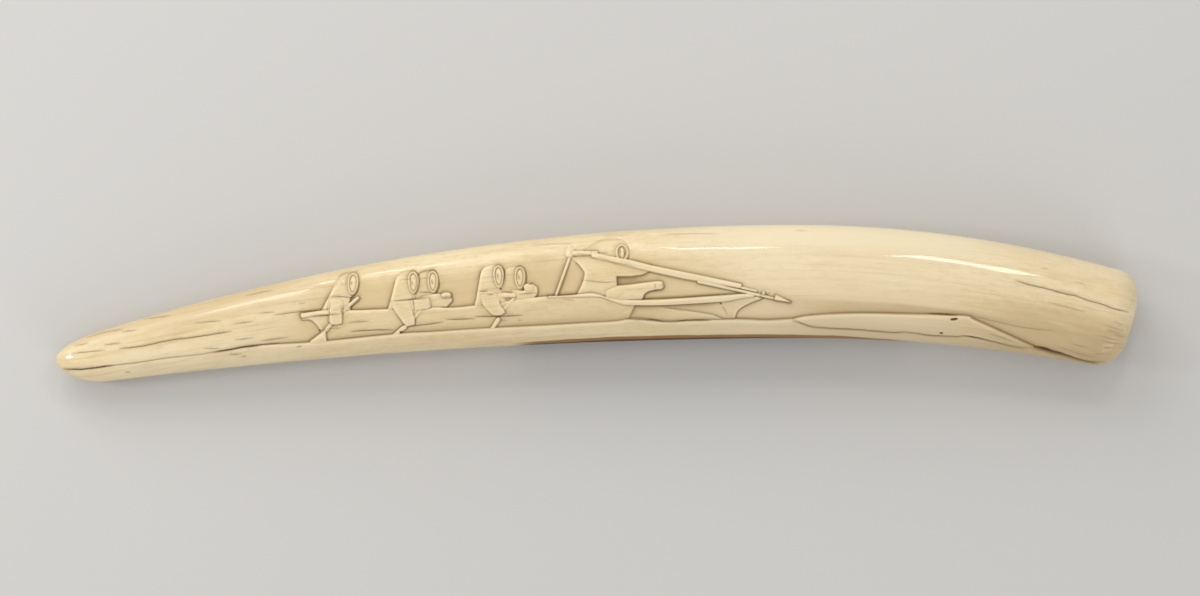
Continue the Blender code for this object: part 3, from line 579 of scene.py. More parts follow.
boat_bar((33.8, 7.8), (24, 0.8), (1.5, 1.5), -0.3 * MM)
boat_bar((17.2, -5), (13, -8.8), (1.6, 1.6), SHAFT_HEIGHT)
boat_form([(13, -8.4), (8, -11.2), (3.6, -13.6), (4.2, -14.6), (12.7, -15.3)], CUFF_HEIGHT)
boat_form(STERN_SLEEVE, rising(9, 3, NEAR_HEIGHT, CUFF_HEIGHT))
boat_bar((69.6, -2.6), (63.2, -8.9), (1.3, 1.3), SHAFT_HEIGHT)
boat_form([(60, -11), (56, -12.5), (51, -16.2), (54.4, -15.9), (59, -13.4)], CUFF_HEIGHT)
boat_form(MIDDLE_SLEEVE, rising(3, -3, NEAR_HEIGHT, CUFF_HEIGHT))
boat_form(
    [(63, 2.4), (69, 2.6), (73.4, 2.2), (74.4, 0), (74, -2.7), (72, -3.3), (66.5, -3.4)]
    + [(63.6, -2.6)],
    growing(62.5, 70, NEAR_HEIGHT, CUFF_HEIGHT),
    dirt=0.8,
)
boat_bar((121.6, -2.4), (114.4, -9.2), (1.3, 1.3), SHAFT_HEIGHT, dirt=0.6)
boat_form([(112, -13), (110.5, -13.6), (106.6, -18.9), (108.6, -18.9), (112.6, -14.4)], CUFF_HEIGHT)
boat_form(BOW_SLEEVE, rising(1, -4, NEAR_HEIGHT, CUFF_HEIGHT))
boat_form(
    [(112.5, 0.9), (118, 0.6), (122.2, 0), (122.4, -1.6), (121, -2.2), (117, -2), (112.5, -1.4)],
    growing(112, 119, NEAR_HEIGHT, CUFF_HEIGHT),
    dirt=0.5,
)


# Lines and cracks. Hems, cuffs and folds are single strokes of the graver. The long thin cracks
# came later, as the old tooth dried: they follow its length, most of them towards the tip
# and at the butt, and hold brown dirt.
GROOVE_STEP = 0.0007
GROOVE_TAPER = 0.006
WOBBLE = 0.00012
WOBBLE_LENGTH = 0.004
grooves = []


class Groove:
    """A thin cut or crack through points (s, d) in millimetres, seen from above."""

    def __init__(self, points, wide=0.5, deep=0.25, dark=0.8, wobble=1.0, behind=False):
        line = np.asarray(points, float) * MM
        line = even_points(smooth_line(line) if len(line) > 2 else line, GROOVE_STEP, False)
        q = line[:, 1] / section_size(line[:, 0]) if behind else way_round(*line.T)
        flat = laid_flat(line[:, 0], q)
        for point in flat:
            point[1] += wobble * WOBBLE * noise.noise(Vector((*point, 0)) / WOBBLE_LENGTH)
        self.line = flat
        self.half = wide * MM / 2
        self.deep = deep * MM
        self.dark = dark
        self.lengths = np.arange(len(flat)) * GROOVE_STEP

    def width_share(self, length):
        """The groove runs out at both ends."""
        total = self.lengths[-1]
        end = np.minimum(length, total - length) / min(GROOVE_TAPER, total / 2 + 1e-9)
        return np.sqrt(np.clip(end, 0, 1))

    def cut(self, flat, height, crack):
        margin = 2.2 * self.half
        low, high = self.line.min(axis=0) - margin, self.line.max(axis=0) + margin
        near = np.flatnonzero(((flat > low) & (flat < high)).all(axis=1))
        if not len(near):
            return
        apart, number, share = from_segments(flat[near], self.line[:-1], self.line[1:])
        length = (number + share) * GROOVE_STEP
        size = self.width_share(length)
        depth = np.clip(1 - (apart / (self.half * (0.4 + 0.6 * size))) ** 2, 0, 1) * size
        height[near] -= self.deep * depth
        stain_and_shade = self.dark * size * np.exp(-((apart / (0.9 * self.half)) ** 2))
        crack[near] = np.maximum(crack[near], stain_and_shade)


# Strokes of the graver: the hems and waists of the coats, the folds of the sleeves, the hands.
for points in (
    [(-265.3, 10.5), (-258.3, 9.7), (-253.7, 8.5), (-249, 8.4)],
    [(-264.7, 8.1), (-265.6, 2.7), (-266.5, -0.4), (-266.8, -5.1)],
    [(-259.1, 5.3), (-259.1, -0.3), (-259.4, -3.8)],
    [(-276.9, 1.2), (-266, 0.2), (-259.1, -0.3)],
    [(-229.6, 3.2), (-222.2, 2.8), (-217.4, 2.7), (-209.7, 1.8)],
    [(-218.3, 5.8), (-218.3, 1.9), (-218.3, -4.4)],
    [(-214.6, 6.4), (-206.7, 5.5)],
    [(-251.2, 18.2), (-251.7, 15.2)],
    [(-217.9, 14.2), (-217.7, 10.4)],
    [(-206.7, 13.4), (-206.5, 9.8)],
    [(-169.6, 13.2), (-169.4, 8.8)],
    [(-157.9, 11), (-157.7, 7.4)],
    [(-99.9, 21.4), (-100.1, 18.4)],
    [(-97.6, 20.4), (-97.8, 17.4)],
    [(-181, 3.1), (-175.5, 2.9)],
    [(-176.8, 0.8), (-172.3, 0.6)],
    [(-168.6, -1.6), (-160, -2.3)],
    [(-159, -0.5), (-148, -0.5)],
    [(-202, 2), (-197.2, 1.9)],
):
    grooves.append(Groove(points, wide=0.8, deep=0.35, dark=0.75, wobble=0.5))
for points in (
    [(-168, 2.5), (-162, 0.2)],
    [(-209, 2), (-209, -3.5)],
    [(-81.5, 0.9), (-81.3, -2.4)],
    [(-77.5, 0.6), (-77.6, -2.0)],
    [(-214.2, 18.3), (-215, 9.5), (-216.7, 6.2), (-218.1, 4.5)],
    [(-165.2, 14.7), (-166.4, 8.4), (-167.3, 5.2)],
    [(-126.4, 19.2), (-124.1, 19.9), (-115.5, 19)],
    [(-112.7, 20.4), (-106.4, 19.5)],
    [(-113.6, 17.6), (-109, 16), (-104.5, 14), (-100, 12.9), (-90.9, 10.4)],
    [(-123, 5.1), (-116, 3.6), (-109, 2.6), (-103, 2.9)],
    [(-44.5, -13.3), (-42.4, -16.2), (-41, -19.6)],
    [(-77.3, -13.9), (-69, -15.4), (-59, -17), (-49, -19), (-45.5, -20.3), (-43, -21.6)],
):
    grooves.append(Groove(points, wide=0.7, deep=0.3, dark=0.5, wobble=0.4))

# Cracks with the grain of the tooth. The first is the long one under the tip.
grooves.append(
    Groove(
        [(-420.5, -2.1), (-408.7, -4.8), (-393.2, -6.2), (-378.2, -7.6), (-361.9, -8.3)]
        + [(-345.8, -9.8), (-334.2, -10.2), (-317.8, -10.4), (-306.2, -11), (-296, -11.6)],
        wide=0.9,
        deep=0.35,
        dark=0.5,
    )
)
for points in (
    [(-421, -2), (-415, -3.5), (-408.7, -4.8), (-400, -5.6), (-391, -6.4)],
    [(-336, -10.1), (-326, -10.4), (-317.8, -10.4), (-306, -11)],
):
    grooves.append(Groove(points, wide=1.4, deep=0.45, dark=1.0))
for points in (
    [(-387.2, 2.4), (-374, 1.1), (-357.6, 1.3), (-341.5, 0.3), (-321.8, -0.2)],
    [(120, 10.8), (125, 10), (130, 9.3), (140, 8.9), (150, 8.1), (155, 8.3), (160, 7.5)]
    + [(165, 7), (172, 6.7), (177, 6), (187, 6.1)],
    [(-223, -12.5), (-212, -12.6), (-202, -12.3)],
    [(-201.7, -10.9), (-193, -11.7), (-184, -12.3)],
    [(-185.5, -11), (-172, -12.2), (-157, -13)],
    [(-256.5, -11.3), (-247.8, -11.7), (-236, -12.9), (-230.6, -14)],
    [(170, -26.6), (176, -25.6), (182, -24.5)],
    [(94, -25.6), (102.5, -25), (112, -25.7)],
    [(-99, -19.2), (-90, -19.9), (-84, -20.7), (-75, -21.9), (-63, -21.6), (-50, -21.9)],
    [(74, -15), (80, -14.8), (86, -14.5), (92, -14)],
):
    grooves.append(Groove(points, wide=0.8, deep=0.4, dark=0.85))
for points in (
    [(-340, -7), (-330, -8.8)],
    [(-395.1, 6.3), (-384.8, 5.5)],
    [(-414, 5.5), (-404, 4.4), (-394.1, 3.1)],
    [(-411.8, 9.6), (-402.6, 9.4)],
    [(-386.7, -11.4), (-382.8, -12.2)],
    [(-288, -15.2), (-284, -15)],
    [(-404, 12.4), (-394.4, 13.4), (-381.4, 12.9)],
    [(-384, 11.7), (-374.4, 10.8)],
    [(-370.8, 16.3), (-353.8, 15.1)],
    [(-342.3, 8.2), (-326.4, 6.8)],
    [(-308, -8.5), (-291, -9.2)],
    [(-322.2, -5.4), (-310.1, -6.1)],
    [(-321.1, 4), (-308.5, 3.2)],
    [(-306, 7.2), (-296, 6.6)],
    [(-298, 5), (-283, 4.6), (-272, 4)],
    [(-312, 18.5), (-300, 19.2), (-295, 19)],
    [(-326.5, -13), (-318.6, -14)],
    [(-256.5, -5.8), (-244, -6.7)],
    [(-320, -15.3), (-316, -15.7)],
):
    grooves.append(Groove(points, wide=0.75, deep=0.25, dark=0.7))
for points in (
    [(-283, 9), (-278, 9.2)],
    [(-270, -7), (-261, -9)],
    [(-266.1, -6), (-262.5, -8.5)],
    [(-172, -14.5), (-166, -15.3)],
    [(-161, -15.5), (-158, -15.7)],
    [(-134.5, -5.3), (-127, -6.7)],
    [(-224.6, 14.8), (-215.4, 14.8)],
    [(-214, 14.2), (-206.7, 14.2)],
    [(-150, 27), (-138, 26.7), (-126, 26)],
    [(-75, 28.5), (-60, 28.3), (-44, 27.7)],
    [(-3, 29.3), (5, 28.9)],
    [(140, 1.6), (150, 1), (163, 0.2)],
    [(98, -13.6), (104, -13.9), (111, -14.6), (120, -15.2), (129, -15.4), (139, -14.9)]
    + [(147, -13.9)],
    [(133, 19.4), (137.8, 20.6)],
    [(152, 15.9), (160, 15.9)],
    [(179, -1.2), (186, -2)],
    [(174, -4.6), (187, -4.9)],
    [(176, -6.9), (186, -6.6)],
    [(181, -8), (187.5, -8.8)],
    [(172, -11), (186, -10.8)],
    [(175, -13.4), (187, -13)],
    [(176, -17.7), (184, -15.7)],
    [(173, -22), (184, -19.4)],
    [(158, -19), (170, -19.6)],
    [(150, -22.4), (166, -23.8), (175, -23.4)],
    [(110, -21.9), (119, -23), (126, -24.1)],
    [(150, -28.2), (160, -28.8), (170, -28.9)],
):
    grooves.append(Groove(points, wide=0.6, deep=0.2, dark=0.45))

# The whale's lower side, a fine line that the graver cut in the skin.
grooves.append(
    Groove(
        [(-4.6, -22.6), (1, -24.2), (7.8, -26.2), (16.9, -26.8), (34, -27), (45.5, -27.3)]
        + [(55.8, -27.4), (61.4, -26.6), (68.3, -26.7), (76.4, -27.2), (91.2, -26.2)]
        + [(96.8, -25.2), (103.7, -25.4), (114.1, -26.1), (123.7, -27), (134.8, -26.9)],
        wide=1.3,
        deep=0.35,
        dark=0.6,
        wobble=1.5,
    )
)

# The deep furrow where the skin of the tooth split along the lower side of the butt.
grooves.append(
    Groove(
        [(137.6, -25.8), (143.3, -25.8), (150, -26.4), (155.8, -26.5), (163.5, -27.1)]
        + [(171, -27.2), (178, -26.4)],
        wide=3.4,
        deep=1.0,
        dark=1.0,
        wobble=2.0,
    )
)

# The back is plain, with a few long cracks.
for points in (
    [(-390, 36), (-330, 48), (-240, 58), (-150, 64)],
    [(-60, 74), (40, 71), (130, 66)],
    [(-300, -52), (-190, -60), (-90, -58)],
    [(20, -66), (90, -62), (160, -55)],
):
    grooves.append(Groove(points, wide=0.9, deep=0.35, dark=0.6, behind=True))

# Pits where the grain broke out, full of dirt: (s, d), half length, half width, lean, depth.
PITS = [((89.5, -16.4), 1.9, 0.45, 0.22, 0.9), ((83.2, -25.1), 0.8, 0.3, 0.1, 0.5)]
PITS += [((-227.3, -15.3), 0.6, 0.35, 0.3, 0.9), ((-272.9, -8), 0.4, 0.3, 0, 0.5)]
PITS += [((-168.5, 3.5), 0.4, 0.4, 0, 0.4), ((-44.6, -12.4), 0.4, 0.25, 0, 0.3)]
pits = []
for (s, d), long, wide, lean, deep in PITS:
    outline = oval((s * MM, d * MM), long * MM, wide * MM, -lean, points=16)
    pits.append((Form(outline, -deep * MM), deep))


# The skin's mesh. One closed sheet, laid flat and cut into small triangles along every carved
# edge and crack, then bent round the tusk, raised and sunk by the carving, and sewn up
# along the middle of the back.
WELD = 0.0001
CARVED_START = -0.402
CARVED_END = 155 * MM
FINE_STEP = 0.00105
PLAIN_STEP = 0.0014
BACK_STEP = 0.0025
SEAM_STEP = 0.0022
SHADE_RINGS = (SLOPE_WIDTH + 0.0005, SLOPE_WIDTH + 0.0011, -0.0005)
CARVED_SHARE = 0.975
SEAM_SHARE = 0.99999
FINE_ROUND = 1.28
PLAIN_ROUND = 1.4
ROW_SHARE = 0.866
SHOULDER_SHARE = 1.1
LOOSE_GAP = 0.0003
LOOSE_TO_EDGE_GAP = 0.00024
FILLING_GAP = 0.0006
FILLING_TO_LOOSE_GAP = 0.00055
REST_FLAT_FROM = 0.1
REST_FLAT_TO = 0.58
REST_FLAT_MARGIN = 0.02
SEWN_WITHIN = 2e-6
WAVES = ((3.1, (18, 90, 90), 0.07 * MM), (7.7, (60, 330, 330), 0.025 * MM))


def hidden(points, later, margin):
    """True where a later form, or its slope, covers the point."""
    covered = np.zeros(len(points), bool)
    for form in later:
        near, inside = form.inside(points, SLOPE_WIDTH + margin)
        covered[near] |= inside > margin - SLOPE_WIDTH
    return covered


edge_starts, edge_ends, loose = [], [], []
for number, form in enumerate(forms):
    later = forms[number + 1 :]
    for outward in (0.0, SLOPE_WIDTH):
        ring = form.ring(outward)
        ends = np.roll(ring, -1, axis=0)
        shown = ~hidden((ring + ends) / 2, later, outward / 2 + WELD)
        edge_starts.append(ring[shown])
        edge_ends.append(ends[shown])
    for outward in SHADE_RINGS:
        ring = form.ring(outward)
        loose.append(ring[~hidden(ring, later, 0.0)])
edge_starts, edge_ends = np.vstack(edge_starts), np.vstack(edge_ends)
for pit, _ in pits:
    loose += [pit.outline, pit.ring(SLOPE_WIDTH), pit.outline.mean(axis=0)[None]]
loose = np.vstack(loose)


def on_carved_side(points):
    low, high = CARVED_START + MM, CARVED_END - MM
    across = np.abs(points[:, 1]) < CARVED_SHARE * half_width(points[:, 0])
    return (points[:, 0] > low) & (points[:, 0] < high) & across


def flat_from_above(points):
    return laid_flat(points[:, 0], way_round(points[:, 0], points[:, 1]))


good = on_carved_side(edge_starts) & on_carved_side(edge_ends)
edge_points = np.stack(
    [flat_from_above(edge_starts[good]), flat_from_above(edge_ends[good])], axis=1
)
groove_edges = [np.stack([groove.line[:-1], groove.line[1:]], axis=1) for groove in grooves]
edge_points = np.vstack([edge_points, *groove_edges]).reshape(-1, 2)


def border():
    """The seam's points, alike on both sides, and the two ends."""
    length = FLAT_LENGTH[-1]
    u = np.linspace(0, length, int(length / SEAM_STEP))[1:-1]
    s = from_flat(u, 0 * u)[0]
    rim = HALF_ROUND * section_size(s)
    return np.vstack(
        [np.stack([u, rim], axis=1), np.stack([u, -rim], axis=1), [(0, 0), (length, 0)]]
    )


def lattice(step, wanted):
    """Rows of evenly spread points over the flat skin, where they are wanted."""
    limit = HALF_ROUND * HALF_WIDTH
    rows = np.arange(-limit, limit, step * ROW_SHARE)
    columns = np.arange(0, FLAT_LENGTH[-1], step)
    u = columns[None] + np.where(np.arange(len(rows)) % 2 == 1, step / 2, 0)[:, None]
    w = np.broadcast_to(rows[:, None], u.shape)
    u, w = u.ravel(), w.ravel()
    s = np.interp(u, FLAT_LENGTH, STATIONS)
    q = w / np.maximum(section_size(s), 1e-6)
    inside = (np.abs(w) < HALF_ROUND * section_size(s) - 0.6 * step) & wanted(s, q)
    return np.stack([u, w], axis=1)[inside]


def spaced(points, gap):
    """The points without those that lie too near an earlier one."""
    taken, kept = {}, []
    for number, (u, w) in enumerate(points):
        i, j = int(u // gap), int(w // gap)
        around = [taken.get((i + a, j + b)) for a in (-1, 0, 1) for b in (-1, 0, 1)]
        if all(at is None or math.hypot(at[0] - u, at[1] - w) > gap for at in around):
            taken[i, j] = (u, w)
            kept.append(number)
    return points[kept]


def clear_of(points, others, gap):
    """The points that lie at least a gap from all the others."""
    tree = KDTree(len(others))
    for number, (u, w) in enumerate(others):
        tree.insert((u, w, 0), number)
    tree.balance()
    return np.array([p for p in points if tree.find((p[0], p[1], 0))[2] > gap])


def fine_side(s, q):
    return (s > CARVED_START) & (s < CARVED_END) & (np.abs(q) < FINE_ROUND)


def plain_side(s, q):
    ends = (s < -TIP_REACH + NOSE_LENGTH) | (s > BUTT_REACH - BUTT_ROUND)
    return ~fine_side(s, q) & ((np.abs(q) < PLAIN_ROUND) | ends)


def back_side(s, q):
    return ~fine_side(s, q) & ~plain_side(s, q)


shoulders = []
for groove in grooves:
    ahead = np.gradient(groove.line, axis=0)
    ahead /= np.maximum(np.linalg.norm(ahead, axis=1, keepdims=True), 1e-12)
    across = np.stack([-ahead[:, 1], ahead[:, 0]], axis=1)
    for side in (-SHOULDER_SHARE, SHOULDER_SHARE):
        shoulders.append(groove.line + across * side * groove.half)
loose = flat_from_above(loose[on_carved_side(loose)])
loose = spaced(np.vstack([*shoulders, loose]), LOOSE_GAP)
loose = clear_of(loose, edge_points, LOOSE_TO_EDGE_GAP)
rim = border()
flat_u = np.linspace(REST_FLAT_FROM, REST_FLAT_TO, 200)
flat_s = np.interp(flat_u, FLAT_LENGTH, STATIONS)
flat_edge = np.interp(
    THICKNESS_SHARE - REST_FLAT_DEPTH / HALF_WIDTH, -SECTION_UP, SECTION_ROUND
)
for side in (-1, 1):
    rim = np.vstack([rim, laid_flat(flat_s, np.full(len(flat_s), side * flat_edge))])
filling = np.vstack(
    [lattice(FINE_STEP, fine_side), lattice(PLAIN_STEP, plain_side), lattice(BACK_STEP, back_side)]
)
filling = spaced(filling, FILLING_GAP)
filling = clear_of(filling, np.vstack([edge_points, loose, rim]), FILLING_TO_LOOSE_GAP)
flat_points = np.vstack([edge_points, rim, loose, filling])
edges = [(2 * i, 2 * i + 1) for i in range(len(edge_points) // 2)]
made = delaunay_2d_cdt([Vector(p) for p in flat_points / WELD], edges, [], 0, 1.0)
flat_points = np.array([tuple(p) for p in made[0]]) * WELD
s, q = from_flat(*flat_points.T)
triangles = np.array(made[2])
on_seam = np.sign(q) * (np.abs(q) > HALF_ROUND * SEAM_SHARE)
triangles = triangles[np.abs(on_seam[triangles].sum(axis=1)) < 3]


def many_noise(places, seed):
    return np.array([noise.noise(Vector(place) + Vector((seed, 0, 0))) for place in places])


above = np.stack([s, distance_across(s, q)], axis=1)
height = field_height(above)
dirt, worn_and_lit = np.zeros(len(s)), np.zeros(len(s))
for form in forms:
    form.carve(above, height, dirt, worn_and_lit)
carved_side = np.abs(q) < SIDE_ROUND
height, dirt, worn_and_lit = (np.where(carved_side, values, 0) for values in (height, dirt, worn_and_lit))
crack = np.zeros(len(s))
cut_down = np.zeros(len(s))
for groove in grooves:
    groove.cut(flat_points, cut_down, crack)
for pit, deep in pits:
    near, inside = pit.inside(above, SLOPE_WIDTH)
    near, inside = near[carved_side[near]], inside[carved_side[near]]
    cover = soft_step(1 + inside / SLOPE_WIDTH)
    cut_down[near] -= deep * MM * cover
    crack[near] = np.maximum(crack[near], cover)

# The old skin isn't quite even: long shallow waves with the grain, and the scraper's marks. The
# grain's places turn under the back, so that both sides of the seam meet in the same place.
under = np.clip((np.abs(q) - SIDE_ROUND) / (HALF_ROUND - SIDE_ROUND), 0, 1) * math.pi / 2
side_w = section_size(s) * SIDE_ROUND
grain_across = np.where(under > 0, np.sign(q) * side_w * np.cos(under), flat_points[:, 1])
grain = np.stack([flat_points[:, 0], grain_across, -side_w * np.sin(under)], axis=1)
waves = sum(many_noise(grain * often, seed) * tall for seed, often, tall in WAVES)
ends_fade = np.clip(section_size(s) / (0.5 * half_width(s)), 0, 1)
height = height + cut_down + waves * ends_fade
points = skin(s, q) + skin_normal(s, q) * height[:, None] * ends_fade[:, None]
near_rest_flat = np.abs(q) > flat_edge - REST_FLAT_MARGIN
points[near_rest_flat, 2] = np.maximum(points[near_rest_flat, 2], 0)
low, high = (np.array(corner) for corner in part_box("carved_tusk"))
start = points.min(axis=0)
cad_shift = Vector(low - start)
points = (points - start) / (points.max(axis=0) - start) * (high - low) + low

mesh = bpy.data.meshes.new("carved_tusk_skin")
mesh.from_pydata(points.tolist(), [], triangles.tolist())
depth = -height / FIELD_DEPTH
skin_across = np.sign(q) * np.interp(np.abs(q), SECTION_ROUND, SECTION_ACROSS) * section_size(s)
held_values = {"dirt": dirt, "crack": crack, "depth": depth, "worn_and_lit": worn_and_lit, "inner": above[:, 1]}
for name, values in held_values.items():
    mesh.attributes.new(name, "FLOAT", "POINT").data.foreach_set("value", values)
mesh.attributes.new("grain", "FLOAT_VECTOR", "POINT").data.foreach_set("vector", grain.ravel())
sides = np.stack([s, side_shift(s) + skin_across, q], axis=1)
mesh.attributes.new("sides", "FLOAT_VECTOR", "POINT").data.foreach_set("vector", sides.ravel())

# Sewing can leave a sliver that lies double on the seam, and it comes off.
sewn = bmesh.new()
sewn.from_mesh(mesh)
bmesh.ops.remove_doubles(sewn, verts=sewn.verts, dist=SEWN_WITHIN)
stray = []
for face in sewn.faces:
    shared = [len(edge.link_faces) for edge in face.edges]
    if min(shared) == 1 and max(shared) > 2:
        stray.append(face)
bmesh.ops.delete(sewn, geom=stray, context="FACES")
open_edges = sum(not edge.is_manifold for edge in sewn.edges)
bmesh.ops.recalc_face_normals(sewn, faces=sewn.faces)
sewn.to_mesh(mesh)
sewn.free()
mesh.shade_smooth()
tusk = bpy.data.objects.new("carved_tusk_skin", mesh)
bpy.context.scene.collection.objects.link(tusk)
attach(tusk, "root")
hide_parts("carved_tusk")


# The ivory. Cream on top and honey to tan down the sides, partly painted shade, with fine
# streaks along the tooth, brown dirt with painted shade round it at the foot of each carved edge,
# brown dirt in the cracks, and a long painted shade under the lower side, brown and then nearly
# black. It is polished by hand and by age, so it shines softly.
CREAM = (0.81, 0.675, 0.43, 1.0)
PALE_CREAM = (0.84, 0.73, 0.51, 1.0)
HONEY = (0.73, 0.575, 0.32, 1.0)
SHADED_GROUND_HONEY = (0.64, 0.495, 0.275, 1.0)
TAN = (0.60, 0.46, 0.26, 1.0)
DARK_TAN = (0.49, 0.365, 0.19, 1.0)
WORN_LIT_CREAM = (0.93, 0.80, 0.55, 1.0)
STREAK_BROWN = (0.46, 0.32, 0.15, 1.0)
DIRT_SHADE_BROWN = (0.21, 0.128, 0.045, 1.0)
CRACK_BROWN = (0.12, 0.07, 0.026, 1.0)
UNDERSIDE_SHADOW_BLACK = (0.05, 0.028, 0.01, 1.0)
UNDERSIDE_SHADE_BROWN = (0.31, 0.175, 0.075, 1.0)
UNDERSIDE_SHADE_RAGGED = 0.0012
UNDERSIDE_SHADE_SLANT = 0.0163
DULL_SHARE = 0.3
BUMP_DEPTH = 0.0002

ivory = bpy.data.materials.new("ivory")
ivory.use_nodes = True
tree = ivory.node_tree
shader = tree.nodes["Principled BSDF"]
for name, value in (
    ("Metallic", 0.0),
    ("IOR", 1.54),
    ("Coat Roughness", 0.04),
    ("Specular IOR Level", 0.2),
):
    shader.inputs[name].default_value = value


def put(value, socket):
    if isinstance(value, bpy.types.NodeSocket):
        tree.links.new(value, socket)
    else:
        socket.default_value = value


def blend_colour(share, first, second):
    node = tree.nodes.new("ShaderNodeMix")
    node.data_type = "RGBA"
    put(share, node.inputs["Factor"])
    put(first, node.inputs["A"])
    put(second, node.inputs["B"])
    return node.outputs["Result"]


def combined(way, first, second):
    node = tree.nodes.new("ShaderNodeMath")
    node.operation = way
    put(first, node.inputs[0])
    put(second, node.inputs[1])
    return node.outputs[0]


def times(first, *others):
    for other in others:
        first = combined("MULTIPLY", first, other)
    return first


def ramp(value, low, high, start=0.0, end=1.0):
    node = tree.nodes.new("ShaderNodeMapRange")
    node.interpolation_type = "SMOOTHSTEP"
    put(value, node.inputs["Value"])
    put(low, node.inputs["From Min"])
    put(high, node.inputs["From Max"])
    put(start, node.inputs["To Min"])
    put(end, node.inputs["To Max"])
    return node.outputs["Result"]


def held(name, output="Fac"):
    node = tree.nodes.new("ShaderNodeAttribute")
    node.attribute_name = name
    return node.outputs[output]


def grain_noise(along, across, detail=3.0, roughness=0.5, seed=0.0):
    """Noise drawn out along the grain: how often it changes in a metre, along and across."""
    spread = tree.nodes.new("ShaderNodeMapping")
    put(held("grain", "Vector"), spread.inputs["Vector"])
    spread.inputs["Scale"].default_value = (along, across, across)
    spread.inputs["Location"].default_value = (seed, seed, 0)
    node = tree.nodes.new("ShaderNodeTexNoise")
    put(spread.outputs["Vector"], node.inputs["Vector"])
    node.inputs["Scale"].default_value = 1.0
    node.inputs["Detail"].default_value = detail
    node.inputs["Roughness"].default_value = roughness
    return node.outputs["Fac"]


def bumped(height, strength):
    node = tree.nodes.new("ShaderNodeBump")
    node.inputs["Strength"].default_value = strength
    node.inputs["Distance"].default_value = BUMP_DEPTH
    put(height, node.inputs["Height"])
    return node.outputs["Normal"]


apart = tree.nodes.new("ShaderNodeSeparateXYZ")
put(held("sides", "Vector"), apart.inputs[0])
place_along, place_across, place_round = apart.outputs


def by_length(*stops):
    """A share that changes between two places along the tusk."""
    return ramp(place_along, *stops)


def by_side(*stops):
    """A share that changes between two places across the tusk."""
    return ramp(place_across, *stops)


sunk, soiled_and_shaded, cracked, rubbed_and_lit = (held(name) for name in ("depth", "dirt", "crack", "worn_and_lit"))

patches = grain_noise(14, 60, detail=4, seed=2.0)
clouds = grain_noise(30, 130, detail=5, roughness=0.6, seed=12.0)
flecks = grain_noise(85, 420, detail=5, roughness=0.7, seed=15.0)
streaks = grain_noise(9, 420, detail=4, roughness=0.6, seed=5.0)
hairlines = grain_noise(22, 1300, detail=2, seed=9.0)
specks = grain_noise(700, 1100, detail=2, seed=4.0)
mottle = grain_noise(150, 300, detail=4, roughness=0.65, seed=21.0)

ragged = grain_noise(45, 160, detail=4, seed=7.0)

# The long painted shade and shadow on the under side, where it turns from the light, is widest
# below the bow, brown and then nearly black.
border = times(combined("SUBTRACT", ragged, 0.5), UNDERSIDE_SHADE_RAGGED)
border = combined("ADD", border, held("inner"))
border = combined("ADD", border, times(place_along, UNDERSIDE_SHADE_SLANT))
underside_shade_ends = times(by_length(-0.17, -0.15), by_length(0.075, 0.055))
underside_shade_ends = times(underside_shade_ends, ramp(place_round, -2.5, -2.2))
stain_and_shade = times(ramp(border, -0.0302, -0.0308), underside_shade_ends)
underside_shadow = times(ramp(border, -0.0316, -0.0326), underside_shade_ends, 0.8)

